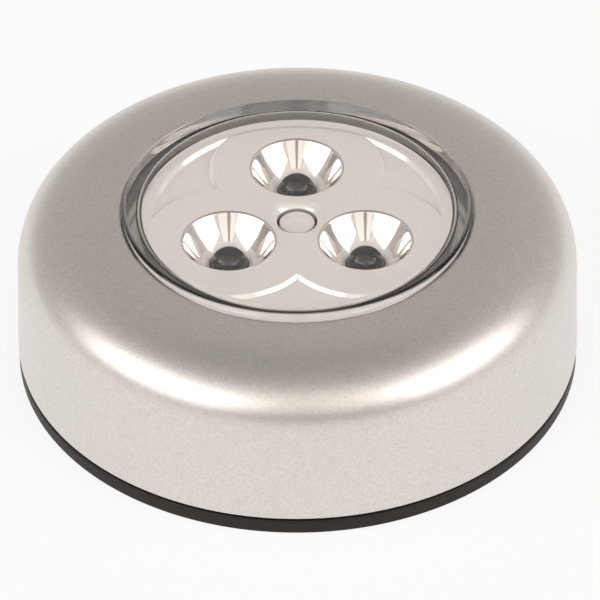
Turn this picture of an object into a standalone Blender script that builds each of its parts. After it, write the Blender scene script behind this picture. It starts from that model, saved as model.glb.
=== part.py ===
"""Round battery puck light with three light-emitting diodes under a clear push lens.

A standalone Blender script: blender --background --python part.py
Metres, +Z up. The origin is the centre of the flat underside that the light rests on,
and the front of the light is -Y.
"""
import math

import bmesh
import bpy

# General clearances and counts
GAP = 0.0003               # between pieces that seat on each other
OVERRUN = 0.002            # how far a cutter runs past the face that it opens
EMBED = 0.0004             # how far a joined feature reaches into the piece that carries it
WELD = 0.0000001           # merge distance of turned shapes at their seam and poles
TIDY_WELD = 0.000001       # merge distance after the Booleans of a piece
LARGE_SEGMENTS = 60
MIDDLE_SEGMENTS = 48
SMALL_SEGMENTS = 20
FINE_SEGMENTS = 12
ROUND_STEPS = 3
SHARP_ANGLE = math.radians(35)

# Clear lens, which is the push button
LENS_CLEARANCE = 0.00034   # all round, in the housing's hole
LENS_PROUD = 0.00065       # how far its face stands above the crown
LENS_PANEL = 0.0010
LENS_WALL = 0.0016
LENS_ROUND = 0.0005
LENS_FILLET = 0.0008       # in the corner between the face's underside and the wall
LENS_FILLET_STEPS = 2
LENS_FLANGE = 0.0010
LENS_FLANGE_REACH = 0.0017
BUTTON_TRAVEL = 0.0010     # down to 0.3 mm above the reflector
POST_RADIUS = 0.00241
POST_CLEARANCE = 0.00033

# Housing shell: a drafted wall and a crown that is a quarter of a superellipse
HOUSING_DRAFT = 0.0003
HOUSING_WALL = 0.0014
HOUSING_EDGE = 0.0003
CROWN_HEIGHT = 0.00855     # from the wall's top to the crown's
CROWN_WALL = 0.0016
CROWN_EXPONENT = 2.46
CROWN_STEPS = 9
LINING_STEPS = 5
HOLE_ROUND = 0.0003
COLLAR_WALL = 0.0010
COLLAR_DEPTH = 0.00305
BOSS_RADIUS = 0.0024
BOSS_INSET = 0.0051        # from the shell's bore in to the bosses' middles
BOSS_ANGLES = (math.radians(90), math.radians(235), math.radians(305))

# Back cover with its bayonet ring
COVER_INSET = 0.0002               # all round, from the shell's outside
COVER_BAND = 0.0019
COVER_FLOOR = 0.0013
COVER_EDGE = 0.0003
PLUG_WALL = 0.0009
PLUG_HEIGHT = 0.0036
LUG_REACH = 0.0009
LUG_HEIGHT = 0.0008
LUG_STEP = 0.0001                  # from the ring's top down to the lugs'
LUG_SWEEP = math.radians(16)
LEDGE_HEIGHT = 0.0008
LEDGE_LEAD = math.radians(15)      # from the lug's middle to the ledge's open end
STOP_SWEEP = math.radians(3)
STOP_SLACK = math.radians(0.6)
LUG_ANGLES = (math.radians(30), math.radians(150), math.radians(270))
RECESS_INSET = 0.0148              # from the cover's edge to the thumb recesses' middles
RECESS_HALF_WIDTH = 0.0032
RECESS_HALF_LENGTH = 0.0070
RECESS_DEPTH = 0.0006

# Dry cells, three side by side
CELL_RADIUS = 0.00525
CELL_BODY = 0.0432
CELL_NUB = 0.0008
CELL_NUB_RADIUS = 0.0019
CELL_EDGE = 0.0004
CELL_SIGNS = (1, -1, 1)            # which way each cell's nub points along X
CELL_ROOM = 0.001866               # from the cells' outermost corners to the tray's round edge

# Contacts
PLATE_THICKNESS = 0.0004
PLATE_HALF_WIDTH = 0.0041
PLATE_FOOT = 0.0006                # from the tray's bottom edge up to the plates
TAB_HALF_WIDTH = 0.0010
TAB_RISE = 0.0005                  # how far a solder tab stands above the deck
SPRING_LENGTH = 0.0024
SPRING_WIRE = 0.00025
SPRING_BASE_RADIUS = 0.0034
SPRING_TIP_RADIUS = 0.0016
SPRING_TURNS = 2.5
SPRING_POINTS = 9                  # points for each turn
LEAD_WIRE_RADIUS = 0.0005
LEAD_WIRE_ARCH = 0.0012
LEAD_WIRE_POINTS = 10
LEAD_PAD_ANGLE = math.radians(20)
RED_WIRE = (0.55, 0.03, 0.02)
BLACK_WIRE = (0.02, 0.02, 0.02)

# Battery tray, hung under the crown by three screws
TRAY_WALL = 0.0010
TRAY_END_WALL = 0.0008
TRAY_DECK = 0.0012
EAR_THICKNESS = 0.0015
EAR_RADIUS = 0.0030
LUG_BOSS_RADIUS = 0.0020
LUG_BOSS_FOOT = 0.0006             # plastic left under the blind hole

# Circuit board and what is on it
BOARD_MARGIN = 0.0021              # from the screws' middles out to the board's edge
BOARD_THICKNESS = 0.0010
BOARD_STANDOFF = 0.0005            # from the deck to the board
BOARD_SCREW_OUTSET = 0.0019        # from the reflector's skirt out to the screws' middles
LED_RADIUS = 0.0023
LED_HEIGHT = 0.0048
LED_FLANGE_RADIUS = 0.0027
LED_FLANGE = 0.0008
LED_LEG_HALF = 0.00022
LED_LEG_SPREAD = 0.00127
LEG_END = 0.00025                  # how far a leg's end stays above the deck
LEG_HOLE_RADIUS = 0.00065
LED_DOME_STEPS = 4
SWITCH_HALF = 0.0030
SWITCH_HEIGHT = 0.0029
SWITCH_LIP = 0.0005
SWITCH_FLOOR = 0.0004
PLUNGER_RADIUS = 0.0015
PLUNGER_BORE = 0.00105
PLUNGER_LEFT = 0.0021              # what still stands out of the switch when it is pressed
PLUNGER_CAP = 0.0006               # height of its wider head
PLUNGER_FOOT_RADIUS = 0.0019
PLUNGER_FOOT = 0.0005
SWITCH_SPRING_RADIUS = 0.00068
SWITCH_SPRING_WIRE = 0.00012
SWITCH_SPRING_TURNS = 4
RESISTOR_RADIUS = 0.0011
RESISTOR_HALF_LENGTH = 0.0030
RESISTOR_WAIST = 0.0002
RESISTOR_OUTSET = 0.0016           # from the diodes' circle out to the resistor
RESISTOR_LEAD_RADIUS = 0.00025
RESISTOR_LEAD_REACH = 0.0045
RESISTOR_LEAD_BEND = 0.0006

# Reflector
REFLECTOR_HEIGHT = 0.0063
REFLECTOR_PLATE = 0.0012
REFLECTOR_EDGE = 0.0003
SKIRT_WALL = 0.0008
APRON_REACH = 0.0034               # of the ring under the lens's flange, out from the skirt
APRON_THICKNESS = 0.0006
CUP_LAND = 0.00082                 # from the centre dish to the cups' rims
CUP_BORDER = 0.00402               # from the cups' rims to the reflector's edge
CUP_RADIUS = 0.00558
CUP_DEPTH = 0.0035
CUP_WALL = 0.0008
CUP_LIP = 0.0007
CUP_STEPS = 4
CUP_ANGLES = (math.radians(90), math.radians(210), math.radians(330))
LED_CLEARANCE = 0.00052
DISH_RADIUS = 0.0030
DISH_DEPTH = 0.0009
HUB_RADIUS = 0.0034
HUB_HEIGHT = 0.0018
LOBE_BORDER = 0.00467              # from a cup's rim to its lobe's edge
POCKET_RIM = 0.0016                # left round the sunk fields
POCKET_DEPTH = 0.0006
POCKET_LEAN = 0.00045
POCKET_OVERRUN = 0.0004            # how far the cutter of the sunk fields runs above the plate
POCKET_ARC_STEPS = 6
PEG_RADIUS = 0.0007
PEG_LENGTH = 0.0009
PEG_ANGLES = (math.radians(30), math.radians(150), math.radians(270))

# Screws
TRAY_SCREW_SHANK = 0.0009
TRAY_SCREW_HEAD = 0.0019
TRAY_SCREW_HEAD_HEIGHT = 0.0012
TRAY_SCREW_LENGTH = 0.0060
BOARD_SCREW_SHANK = 0.0008
BOARD_SCREW_HEAD = 0.0016
BOARD_SCREW_HEAD_HEIGHT = 0.0010
BOARD_SCREW_LENGTH = 0.0050
SCREW_HEAD_ROUND_SHARE = 0.45      # of the head's height
SCREW_POINT_SHARE = 0.4            # of the shank's radius left at its tip

# Levels that follow from the sizes above, from the bottom up
HOUSING_BOTTOM = COVER_BAND + GAP
PLUG_TOP = COVER_FLOOR + PLUG_HEIGHT
LUG_BOTTOM = PLUG_TOP - LUG_HEIGHT
LEDGE_TOP = LUG_BOTTOM - GAP
TRAY_BOTTOM = COVER_FLOOR + GAP
CELL_LEVEL = TRAY_BOTTOM + CELL_RADIUS
DECK_TOP = CELL_LEVEL + CELL_RADIUS
DECK_BOTTOM = DECK_TOP - TRAY_DECK
BOARD_BOTTOM = DECK_TOP + BOARD_STANDOFF
BOARD_TOP = BOARD_BOTTOM + BOARD_THICKNESS
BOARD_SEAT = BOARD_TOP + GAP
SWITCH_TOP = BOARD_SEAT + SWITCH_HEIGHT
PLUNGER_TOP = SWITCH_TOP + PLUNGER_LEFT + BUTTON_TRAVEL
POST_END = PLUNGER_TOP + GAP
REFLECTOR_TOP = BOARD_SEAT + REFLECTOR_HEIGHT
LENS_UNDERSIDE = REFLECTOR_TOP + GAP + BUTTON_TRAVEL
LENS_TOP = LENS_UNDERSIDE + LENS_PANEL
CROWN_TOP = LENS_TOP - LENS_PROUD
WALL_TOP = CROWN_TOP - CROWN_HEIGHT
COLLAR_BOTTOM = CROWN_TOP - COLLAR_DEPTH
LENS_FLANGE_TOP = COLLAR_BOTTOM - GAP
LENS_BOTTOM = LENS_FLANGE_TOP - LENS_FLANGE
APRON_TOP = LENS_BOTTOM - BUTTON_TRAVEL - GAP

# Radii and lengths that follow, from the cells outwards
CELL_PITCH = 2 * CELL_RADIUS + GAP
CELL_LENGTH = CELL_BODY + CELL_NUB
CELL_OFFSET = (SPRING_LENGTH + GAP) / 2
CELLS_CORNER = math.hypot(CELL_LENGTH / 2 + CELL_OFFSET, CELL_PITCH + CELL_RADIUS)
TRAY_RADIUS = CELLS_CORNER + CELL_ROOM
PLUG_BORE = TRAY_RADIUS + GAP
PLUG_RADIUS = PLUG_BORE + PLUG_WALL
LEDGE_RADIUS = PLUG_RADIUS + GAP
LUG_RADIUS = PLUG_RADIUS + LUG_REACH
HOUSING_BORE = LUG_RADIUS + GAP
HOUSING_RADIUS = HOUSING_BORE + HOUSING_WALL
CROWN_BORE = HOUSING_BORE - HOUSING_DRAFT
COVER_RADIUS = HOUSING_RADIUS - COVER_INSET
BOSS_CIRCLE_RADIUS = HOUSING_BORE - BOSS_INSET
RECESS_PLACE = COVER_RADIUS - RECESS_INSET
BAY_HALF_LENGTH = (CELL_LENGTH + SPRING_LENGTH + 2 * PLATE_THICKNESS + 5 * GAP) / 2
BAY_HALF_WIDTH = CELL_PITCH + CELL_RADIUS + GAP
PLATE_MIDDLE = BAY_HALF_LENGTH - GAP - PLATE_THICKNESS / 2
PLATE_FACE = PLATE_MIDDLE - PLATE_THICKNESS / 2

# Radii that follow, from the diodes and cups outwards
CUP_HOLE = LED_RADIUS + LED_CLEARANCE
CUP_CIRCLE_RADIUS = DISH_RADIUS + CUP_LAND + CUP_RADIUS
LOBE_RADIUS = CUP_RADIUS + LOBE_BORDER
REFLECTOR_RADIUS = CUP_CIRCLE_RADIUS + CUP_RADIUS + CUP_BORDER
POCKET_RADIUS = REFLECTOR_RADIUS - POCKET_RIM
LENS_BORE = REFLECTOR_RADIUS + GAP
LENS_RADIUS = LENS_BORE + LENS_WALL
HOLE_RADIUS = LENS_RADIUS + LENS_CLEARANCE
POST_HOLE = POST_RADIUS + POST_CLEARANCE
PEG_CIRCLE_RADIUS = REFLECTOR_RADIUS - SKIRT_WALL / 2
PEG_HOLE = PEG_RADIUS + GAP
RESISTOR_PLACE = CUP_CIRCLE_RADIUS + RESISTOR_OUTSET
LEAD_HOLE = RESISTOR_LEAD_RADIUS + GAP
BOARD_SCREW_CIRCLE_RADIUS = REFLECTOR_RADIUS + BOARD_SCREW_OUTSET
BOARD_RADIUS = BOARD_SCREW_CIRCLE_RADIUS + BOARD_MARGIN
BOARD_SCREW_HOLE = BOARD_SCREW_SHANK + GAP
TRAY_SCREW_HOLE = TRAY_SCREW_SHANK + GAP


# Scene, materials and objects

def clear_scene():
    """Remove every object, so that only this light is left."""
    for item in list(bpy.data.objects):
        bpy.data.objects.remove(item, do_unlink=True)


def make_material(name, colour, roughness, metallic=0.0, transmission=0.0):
    """A Principled material with one colour."""
    material = bpy.data.materials.new(name)
    material.use_nodes = True
    shader = material.node_tree.nodes["Principled BSDF"]
    shader.inputs["Base Color"].default_value = (*colour, 1.0)
    shader.inputs["Roughness"].default_value = roughness
    shader.inputs["Metallic"].default_value = metallic
    shader.inputs["Transmission Weight"].default_value = transmission
    material.diffuse_color = (*colour, 1.0)
    return material


def mesh_from(name, shape):
    """Turn a bmesh into a smooth mesh with sharp edges kept."""
    bmesh.ops.recalc_face_normals(shape, faces=shape.faces)
    mesh = bpy.data.meshes.new(name)
    shape.to_mesh(mesh)
    shape.free()
    mesh.shade_smooth()
    mesh.set_sharp_from_angle(angle=SHARP_ANGLE)
    return mesh


def add_piece(name, mesh, material, place=(0.0, 0.0, 0.0), turn=(0.0, 0.0, 0.0)):
    """Put a named piece in the scene."""
    if not mesh.materials:
        mesh.materials.append(material)
    piece = bpy.data.objects.new(name, mesh)
    piece.location = place
    piece.rotation_euler = turn
    bpy.context.scene.collection.objects.link(piece)
    return piece


def add_operand(name, shape):
    """Put a cutter, or a feature that a union joins, in the scene as a wire that doesn't render."""
    operand = bpy.data.objects.new(name, mesh_from(name, shape))
    operand.hide_render = True
    operand.display_type = "WIRE"
    bpy.context.scene.collection.objects.link(operand)
    return operand


def combine(piece, operand, operation):
    """Add a Boolean modifier to a piece."""
    modifier = piece.modifiers.new(operand.name, "BOOLEAN")
    modifier.operation = operation
    modifier.solver = "EXACT"
    modifier.object = operand


def settle(piece):
    """Weld what the Booleans left double, and shade the flat faces flat."""
    weld = piece.modifiers.new("settle_weld", "WELD")
    weld.merge_threshold = TIDY_WELD
    normals = piece.modifiers.new("settle_normals", "WEIGHTED_NORMAL")
    normals.keep_sharp = True


# Shapes

def polar(radius, angle):
    """A point on a circle round the light's axis."""
    return (radius * math.cos(angle), radius * math.sin(angle))


def arc_points(centre, radius, start, end, steps):
    """Points along an arc, both ends included."""
    points = []
    for step in range(steps + 1):
        angle = start + (end - start) * step / steps
        points.append((centre[0] + radius * math.cos(angle), centre[1] + radius * math.sin(angle)))
    return points


def superellipse(outer, low, inner, high, steps):
    """A quarter of a superellipse, from (outer, low) to (inner, high), as radius and height."""
    points = []
    for step in range(steps + 1):
        angle = math.pi / 2 * step / steps
        across = max(math.cos(angle), 0.0) ** (2 / CROWN_EXPONENT)
        up = math.sin(angle) ** (2 / CROWN_EXPONENT)
        points.append((inner + (outer - inner) * across, low + (high - low) * up))
    return points


def turn_profile(shape, profile, segments, closed, centre=(0.0, 0.0)):
    """Spin a profile of radius and height round a vertical axis."""
    verts = [shape.verts.new((centre[0] + radius, centre[1], height)) for radius, height in profile]
    edges = [shape.edges.new(pair) for pair in zip(verts, verts[1:])]
    if closed:
        edges.append(shape.edges.new((verts[-1], verts[0])))
    before = set(shape.verts) - set(verts)
    bmesh.ops.spin(
        shape, geom=verts + edges, cent=(*centre, 0.0), axis=(0.0, 0.0, 1.0),
        angle=2 * math.pi, steps=segments,
    )
    fresh = [vert for vert in shape.verts if vert not in before]
    bmesh.ops.remove_doubles(shape, verts=fresh, dist=WELD)


def turned(profile, segments, closed=False):
    """A turned shape on the light's axis."""
    shape = bmesh.new()
    turn_profile(shape, profile, segments, closed)
    return shape


def add_cylinder(shape, place, radius, bottom, top, segments):
    """A cylinder on a vertical axis through a place."""
    profile = [(0.0, bottom), (radius, bottom), (radius, top), (0.0, top)]
    turn_profile(shape, profile, segments, False, place)


def add_loft(shape, lower, bottom, upper, top):
    """A closed body between two outlines with as many points each."""
    low = [shape.verts.new((x, y, bottom)) for x, y in lower]
    high = [shape.verts.new((x, y, top)) for x, y in upper]
    shape.faces.new(reversed(low))
    shape.faces.new(high)
    sides = []
    for index, vert in enumerate(low):
        follower = (index + 1) % len(low)
        sides.append(shape.faces.new((vert, low[follower], high[follower], high[index])))
    if lower is not upper:
        bmesh.ops.triangulate(shape, faces=sides)


def add_prism(shape, outline, bottom, top):
    """A closed body that extrudes one outline."""
    add_loft(shape, outline, bottom, outline, top)


def add_box(shape, low, high):
    """A box between two corners."""
    outline = [(low[0], low[1]), (high[0], low[1]), (high[0], high[1]), (low[0], high[1])]
    add_prism(shape, outline, low[2], high[2])


def arc_band(inner, outer, start, end, steps):
    """The outline of a band between two radii, from one angle to another."""
    band = arc_points((0.0, 0.0), outer, start, end, steps)
    band += reversed(arc_points((0.0, 0.0), inner, start, end, steps))
    return band


def tongue(centre_x, root, tip, radius, steps):
    """The outline of a tongue along Y with a round end about (centre_x, tip)."""
    out = math.copysign(1.0, tip - root)
    start, end = (0.0, math.pi) if out > 0 else (0.0, -math.pi)
    outline = [(centre_x + radius, root)]
    outline += arc_points((centre_x, tip), radius, start, end, steps)
    outline.append((centre_x - radius, root))
    return outline


def tube_mesh(name, points, radius, resolution):
    """A round tube with filled ends along a run of points."""
    curve = bpy.data.curves.new(name, "CURVE")
    curve.dimensions = "3D"
    curve.bevel_depth = radius
    curve.bevel_resolution = resolution
    curve.use_fill_caps = True
    spline = curve.splines.new("POLY")
    spline.points.add(len(points) - 1)
    for index, point in enumerate(points):
        spline.points[index].co = (*point, 1.0)
    return curve


# Housing shell

def crown_height(radius):
    """Height of the middle of the crown's wall at a radius."""
    inner = HOLE_RADIUS
    outer = CROWN_BORE + HOUSING_WALL / 2
    high = CROWN_TOP - CROWN_WALL / 2
    across = min(max((radius - inner) / (outer - inner), 0.0), 1.0)
    return WALL_TOP + (high - WALL_TOP) * (1 - across ** CROWN_EXPONENT) ** (1 / CROWN_EXPONENT)


def housing_profile():
    """The shell's section, from the bottom edge up the outside and back down the inside."""
    wall_radius = HOUSING_RADIUS - HOUSING_DRAFT
    profile = [(HOUSING_RADIUS - HOUSING_EDGE, HOUSING_BOTTOM)]
    profile.append((HOUSING_RADIUS, HOUSING_BOTTOM + HOUSING_EDGE))
    profile += superellipse(wall_radius, WALL_TOP, HOLE_RADIUS + HOLE_ROUND, CROWN_TOP, CROWN_STEPS)
    profile.append((HOLE_RADIUS, CROWN_TOP - HOLE_ROUND))
    profile.append((HOLE_RADIUS, COLLAR_BOTTOM))
    collar = HOLE_RADIUS + COLLAR_WALL
    profile.append((collar, COLLAR_BOTTOM))
    profile += reversed(superellipse(CROWN_BORE, WALL_TOP, collar, CROWN_TOP - CROWN_WALL, LINING_STEPS))
    profile.append((HOUSING_BORE, HOUSING_BOTTOM))
    return profile


def housing_bosses():
    """Screw bosses whose tops follow the crown, so that they end inside its wall."""
    shape = bmesh.new()
    for angle in BOSS_ANGLES:
        place = polar(BOSS_CIRCLE_RADIUS, angle)
        add_cylinder(shape, place, BOSS_RADIUS, DECK_TOP + GAP, CROWN_TOP, SMALL_SEGMENTS)
    for vert in shape.verts:
        if vert.co.z > BOARD_TOP:
            vert.co.z = crown_height(math.hypot(vert.co.x, vert.co.y))
    return shape


def housing_ledges():
    """The bayonet's three ledges, each with a stop that the lug meets when it is locked."""
    shape = bmesh.new()
    outer = HOUSING_BORE + EMBED
    for angle in LUG_ANGLES:
        stop = angle + LUG_SWEEP / 2 + STOP_SLACK
        ledge = arc_band(LEDGE_RADIUS, outer, angle - LEDGE_LEAD, stop + STOP_SWEEP, FINE_SEGMENTS)
        add_prism(shape, ledge, LEDGE_TOP - LEDGE_HEIGHT, LEDGE_TOP)
    return shape


def housing_stops():
    """The stops that stand on the ledges' ends."""
    shape = bmesh.new()
    outer = HOUSING_BORE + EMBED
    for angle in LUG_ANGLES:
        stop = angle + LUG_SWEEP / 2 + STOP_SLACK
        rib = arc_band(LEDGE_RADIUS, outer, stop, stop + STOP_SWEEP, 2)
        add_prism(shape, rib, LEDGE_TOP - LEDGE_HEIGHT / 2, PLUG_TOP)
    return shape


def build_housing():
    """The silver shell with its collar, screw bosses and bayonet ledges."""
    silver = make_material("silver_paint", (0.62, 0.59, 0.57), 0.35, 0.8)
    shell = turned(housing_profile(), LARGE_SEGMENTS, closed=True)
    housing = add_piece("housing_shell", mesh_from("housing_shell", shell), silver)
    combine(housing, add_operand("housing_bosses", housing_bosses()), "UNION")
    combine(housing, add_operand("housing_ledges", housing_ledges()), "UNION")
    combine(housing, add_operand("housing_stops", housing_stops()), "UNION")
    holes = bmesh.new()
    hole_top = DECK_TOP - EAR_THICKNESS + TRAY_SCREW_LENGTH
    for angle in BOSS_ANGLES:
        place = polar(BOSS_CIRCLE_RADIUS, angle)
        add_cylinder(holes, place, TRAY_SCREW_HOLE, DECK_TOP - OVERRUN, hole_top, FINE_SEGMENTS)
    combine(housing, add_operand("boss_holes", holes), "DIFFERENCE")
    settle(housing)


# Lens button

def build_lens():
    """A clear cap with a retaining flange, and a post that reaches down to the switch."""
    clear = make_material("clear_acrylic", (0.95, 0.95, 0.95), 0.02, 0.0, 1.0)
    flange = LENS_RADIUS + LENS_FLANGE_REACH
    profile = [(0.0, LENS_TOP)]
    profile += reversed(arc_points(
        (LENS_RADIUS - LENS_ROUND, LENS_TOP - LENS_ROUND), LENS_ROUND, 0.0, math.pi / 2, ROUND_STEPS))
    profile += [(LENS_RADIUS, LENS_FLANGE_TOP), (flange, LENS_FLANGE_TOP)]
    profile += [(flange, LENS_BOTTOM), (LENS_BORE, LENS_BOTTOM)]
    profile += arc_points(
        (LENS_BORE - LENS_FILLET, LENS_UNDERSIDE - LENS_FILLET), LENS_FILLET, 0.0, math.pi / 2,
        LENS_FILLET_STEPS)
    profile += [(POST_RADIUS, LENS_UNDERSIDE), (POST_RADIUS, POST_END), (0.0, POST_END)]
    add_piece("lens_button", mesh_from("lens_button", turned(profile, LARGE_SEGMENTS)), clear)


# Reflector

def cup_profile():
    """The inside of a cup, a paraboloid from the diode's hole up to the rim."""
    floor = REFLECTOR_TOP - CUP_DEPTH
    profile = [(0.0, floor - CUP_LIP - OVERRUN), (CUP_HOLE, floor - CUP_LIP - OVERRUN)]
    for step in range(CUP_STEPS + 1):
        share = step / CUP_STEPS
        radius = math.sqrt(CUP_HOLE ** 2 + (CUP_RADIUS ** 2 - CUP_HOLE ** 2) * share)
        profile.append((radius, floor + CUP_DEPTH * share))
    profile += [(CUP_RADIUS, REFLECTOR_TOP + OVERRUN), (0.0, REFLECTOR_TOP + OVERRUN)]
    return profile


def pocket_outline(middle, lobe, outer):
    """The outline of the sunk field between two lobes and the rim, about a middle angle."""
    step_angle = 2 * math.pi / len(CUP_ANGLES)
    right_cup = polar(CUP_CIRCLE_RADIUS, middle - step_angle / 2)
    left_cup = polar(CUP_CIRCLE_RADIUS, middle + step_angle / 2)
    half = step_angle / 2
    cusp_radius = CUP_CIRCLE_RADIUS * math.cos(half)
    cusp_radius += math.sqrt(lobe ** 2 - (CUP_CIRCLE_RADIUS * math.sin(half)) ** 2)
    cusp = polar(cusp_radius, middle)
    reach = math.acos((CUP_CIRCLE_RADIUS ** 2 + outer ** 2 - lobe ** 2) / (2 * CUP_CIRCLE_RADIUS * outer))
    right_angle = middle - half + reach
    left_angle = middle + half - reach
    right_corner = polar(outer, right_angle)
    left_corner = polar(outer, left_angle)
    outline = lobe_arc(right_cup, lobe, cusp, right_corner)
    outline += arc_points((0.0, 0.0), outer, right_angle, left_angle, 2 * POCKET_ARC_STEPS)[1:-1]
    outline += lobe_arc(left_cup, lobe, left_corner, cusp)[:-1]
    return outline


def lobe_arc(cup, radius, start, end):
    """Points along a lobe's edge from one place to another, the short way round."""
    first = math.atan2(start[1] - cup[1], start[0] - cup[0])
    sweep = math.atan2(end[1] - cup[1], end[0] - cup[0]) - first
    sweep = (sweep + math.pi) % (2 * math.pi) - math.pi
    return arc_points(cup, radius, first, first + sweep, POCKET_ARC_STEPS)


def build_reflector():
    """A plated plate with three cups, a clover of raised lobes, a skirt, an apron and pegs."""
    chrome = make_material("plated_reflector", (0.80, 0.78, 0.76), 0.12, 1.0)
    plate_bottom = REFLECTOR_TOP - REFLECTOR_PLATE
    hub_bottom = REFLECTOR_TOP - HUB_HEIGHT
    skirt_bore = REFLECTOR_RADIUS - SKIRT_WALL
    apron = REFLECTOR_RADIUS + APRON_REACH
    profile = [
        (POST_HOLE, hub_bottom),
        (HUB_RADIUS, hub_bottom),
        (HUB_RADIUS, plate_bottom),
        (skirt_bore, plate_bottom),
        (skirt_bore, BOARD_SEAT),
        (REFLECTOR_RADIUS, BOARD_SEAT),
        (REFLECTOR_RADIUS, APRON_TOP - APRON_THICKNESS),
        (apron, APRON_TOP - APRON_THICKNESS),
        (apron, APRON_TOP),
        (REFLECTOR_RADIUS, APRON_TOP),
        (REFLECTOR_RADIUS, REFLECTOR_TOP - REFLECTOR_EDGE),
        (REFLECTOR_RADIUS - REFLECTOR_EDGE, REFLECTOR_TOP),
        (DISH_RADIUS, REFLECTOR_TOP),
        (POST_HOLE, REFLECTOR_TOP - DISH_DEPTH),
    ]
    plate = turned(profile, MIDDLE_SEGMENTS, closed=True)
    reflector = add_piece("reflector", mesh_from("reflector", plate), chrome)

    pockets = bmesh.new()
    lean = POCKET_LEAN * POCKET_OVERRUN / POCKET_DEPTH
    for angle in CUP_ANGLES:
        middle = angle + math.pi / len(CUP_ANGLES)
        lower = pocket_outline(middle, LOBE_RADIUS + POCKET_LEAN, POCKET_RADIUS - POCKET_LEAN)
        upper = pocket_outline(middle, LOBE_RADIUS - lean, POCKET_RADIUS + lean)
        add_loft(pockets, lower, REFLECTOR_TOP - POCKET_DEPTH, upper, REFLECTOR_TOP + POCKET_OVERRUN)
    combine(reflector, add_operand("pocket_cutters", pockets), "DIFFERENCE")

    shells = bmesh.new()
    floor = REFLECTOR_TOP - CUP_DEPTH - CUP_LIP
    root = plate_bottom + EMBED
    for angle in CUP_ANGLES:
        shell = [(0.0, floor), (CUP_HOLE + CUP_WALL, floor), (CUP_RADIUS + CUP_WALL, root), (0.0, root)]
        turn_profile(shells, shell, SMALL_SEGMENTS, False, polar(CUP_CIRCLE_RADIUS, angle))
    combine(reflector, add_operand("cup_shells", shells), "UNION")

    pegs = bmesh.new()
    tip = BOARD_SEAT - GAP - PEG_LENGTH
    for angle in PEG_ANGLES:
        place = polar(PEG_CIRCLE_RADIUS, angle)
        add_cylinder(pegs, place, PEG_RADIUS, tip, BOARD_SEAT + EMBED, FINE_SEGMENTS)
    combine(reflector, add_operand("reflector_pegs", pegs), "UNION")

    cups = bmesh.new()
    for angle in CUP_ANGLES:
        turn_profile(cups, cup_profile(), SMALL_SEGMENTS, False, polar(CUP_CIRCLE_RADIUS, angle))
    combine(reflector, add_operand("cup_cutters", cups), "DIFFERENCE")
    settle(reflector)


# Light-emitting diodes, switch and resistor

def build_leds():
    """Three domed diodes, each with a flange and two legs."""
    clear = make_material("diode_epoxy", (0.75, 0.75, 0.73), 0.05, 0.0, 0.6)
    dome = LED_HEIGHT - LED_RADIUS
    profile = [(0.0, 0.0), (LED_FLANGE_RADIUS, 0.0)]
    profile += [(LED_FLANGE_RADIUS, LED_FLANGE), (LED_RADIUS, LED_FLANGE)]
    profile += arc_points((0.0, dome), LED_RADIUS, 0.0, math.pi / 2, LED_DOME_STEPS)
    mesh = mesh_from("led", turned(profile, SMALL_SEGMENTS))
    legs = bmesh.new()
    end = DECK_TOP + LEG_END - BOARD_SEAT
    for side in (-1, 1):
        low = (side * LED_LEG_SPREAD - LED_LEG_HALF, -LED_LEG_HALF, end)
        high = (side * LED_LEG_SPREAD + LED_LEG_HALF, LED_LEG_HALF, LED_FLANGE / 2)
        add_box(legs, low, high)
    leg_pair = add_operand("led_legs", legs)
    for name, angle in zip(("led_back", "led_left", "led_right"), CUP_ANGLES):
        place = (*polar(CUP_CIRCLE_RADIUS, angle), BOARD_SEAT)
        led = add_piece(name, mesh, clear, place)
        pair = leg_pair.copy()
        pair.name = name + "_legs"
        pair.location = place
        bpy.context.scene.collection.objects.link(pair)
        combine(led, pair, "UNION")
        settle(led)


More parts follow.
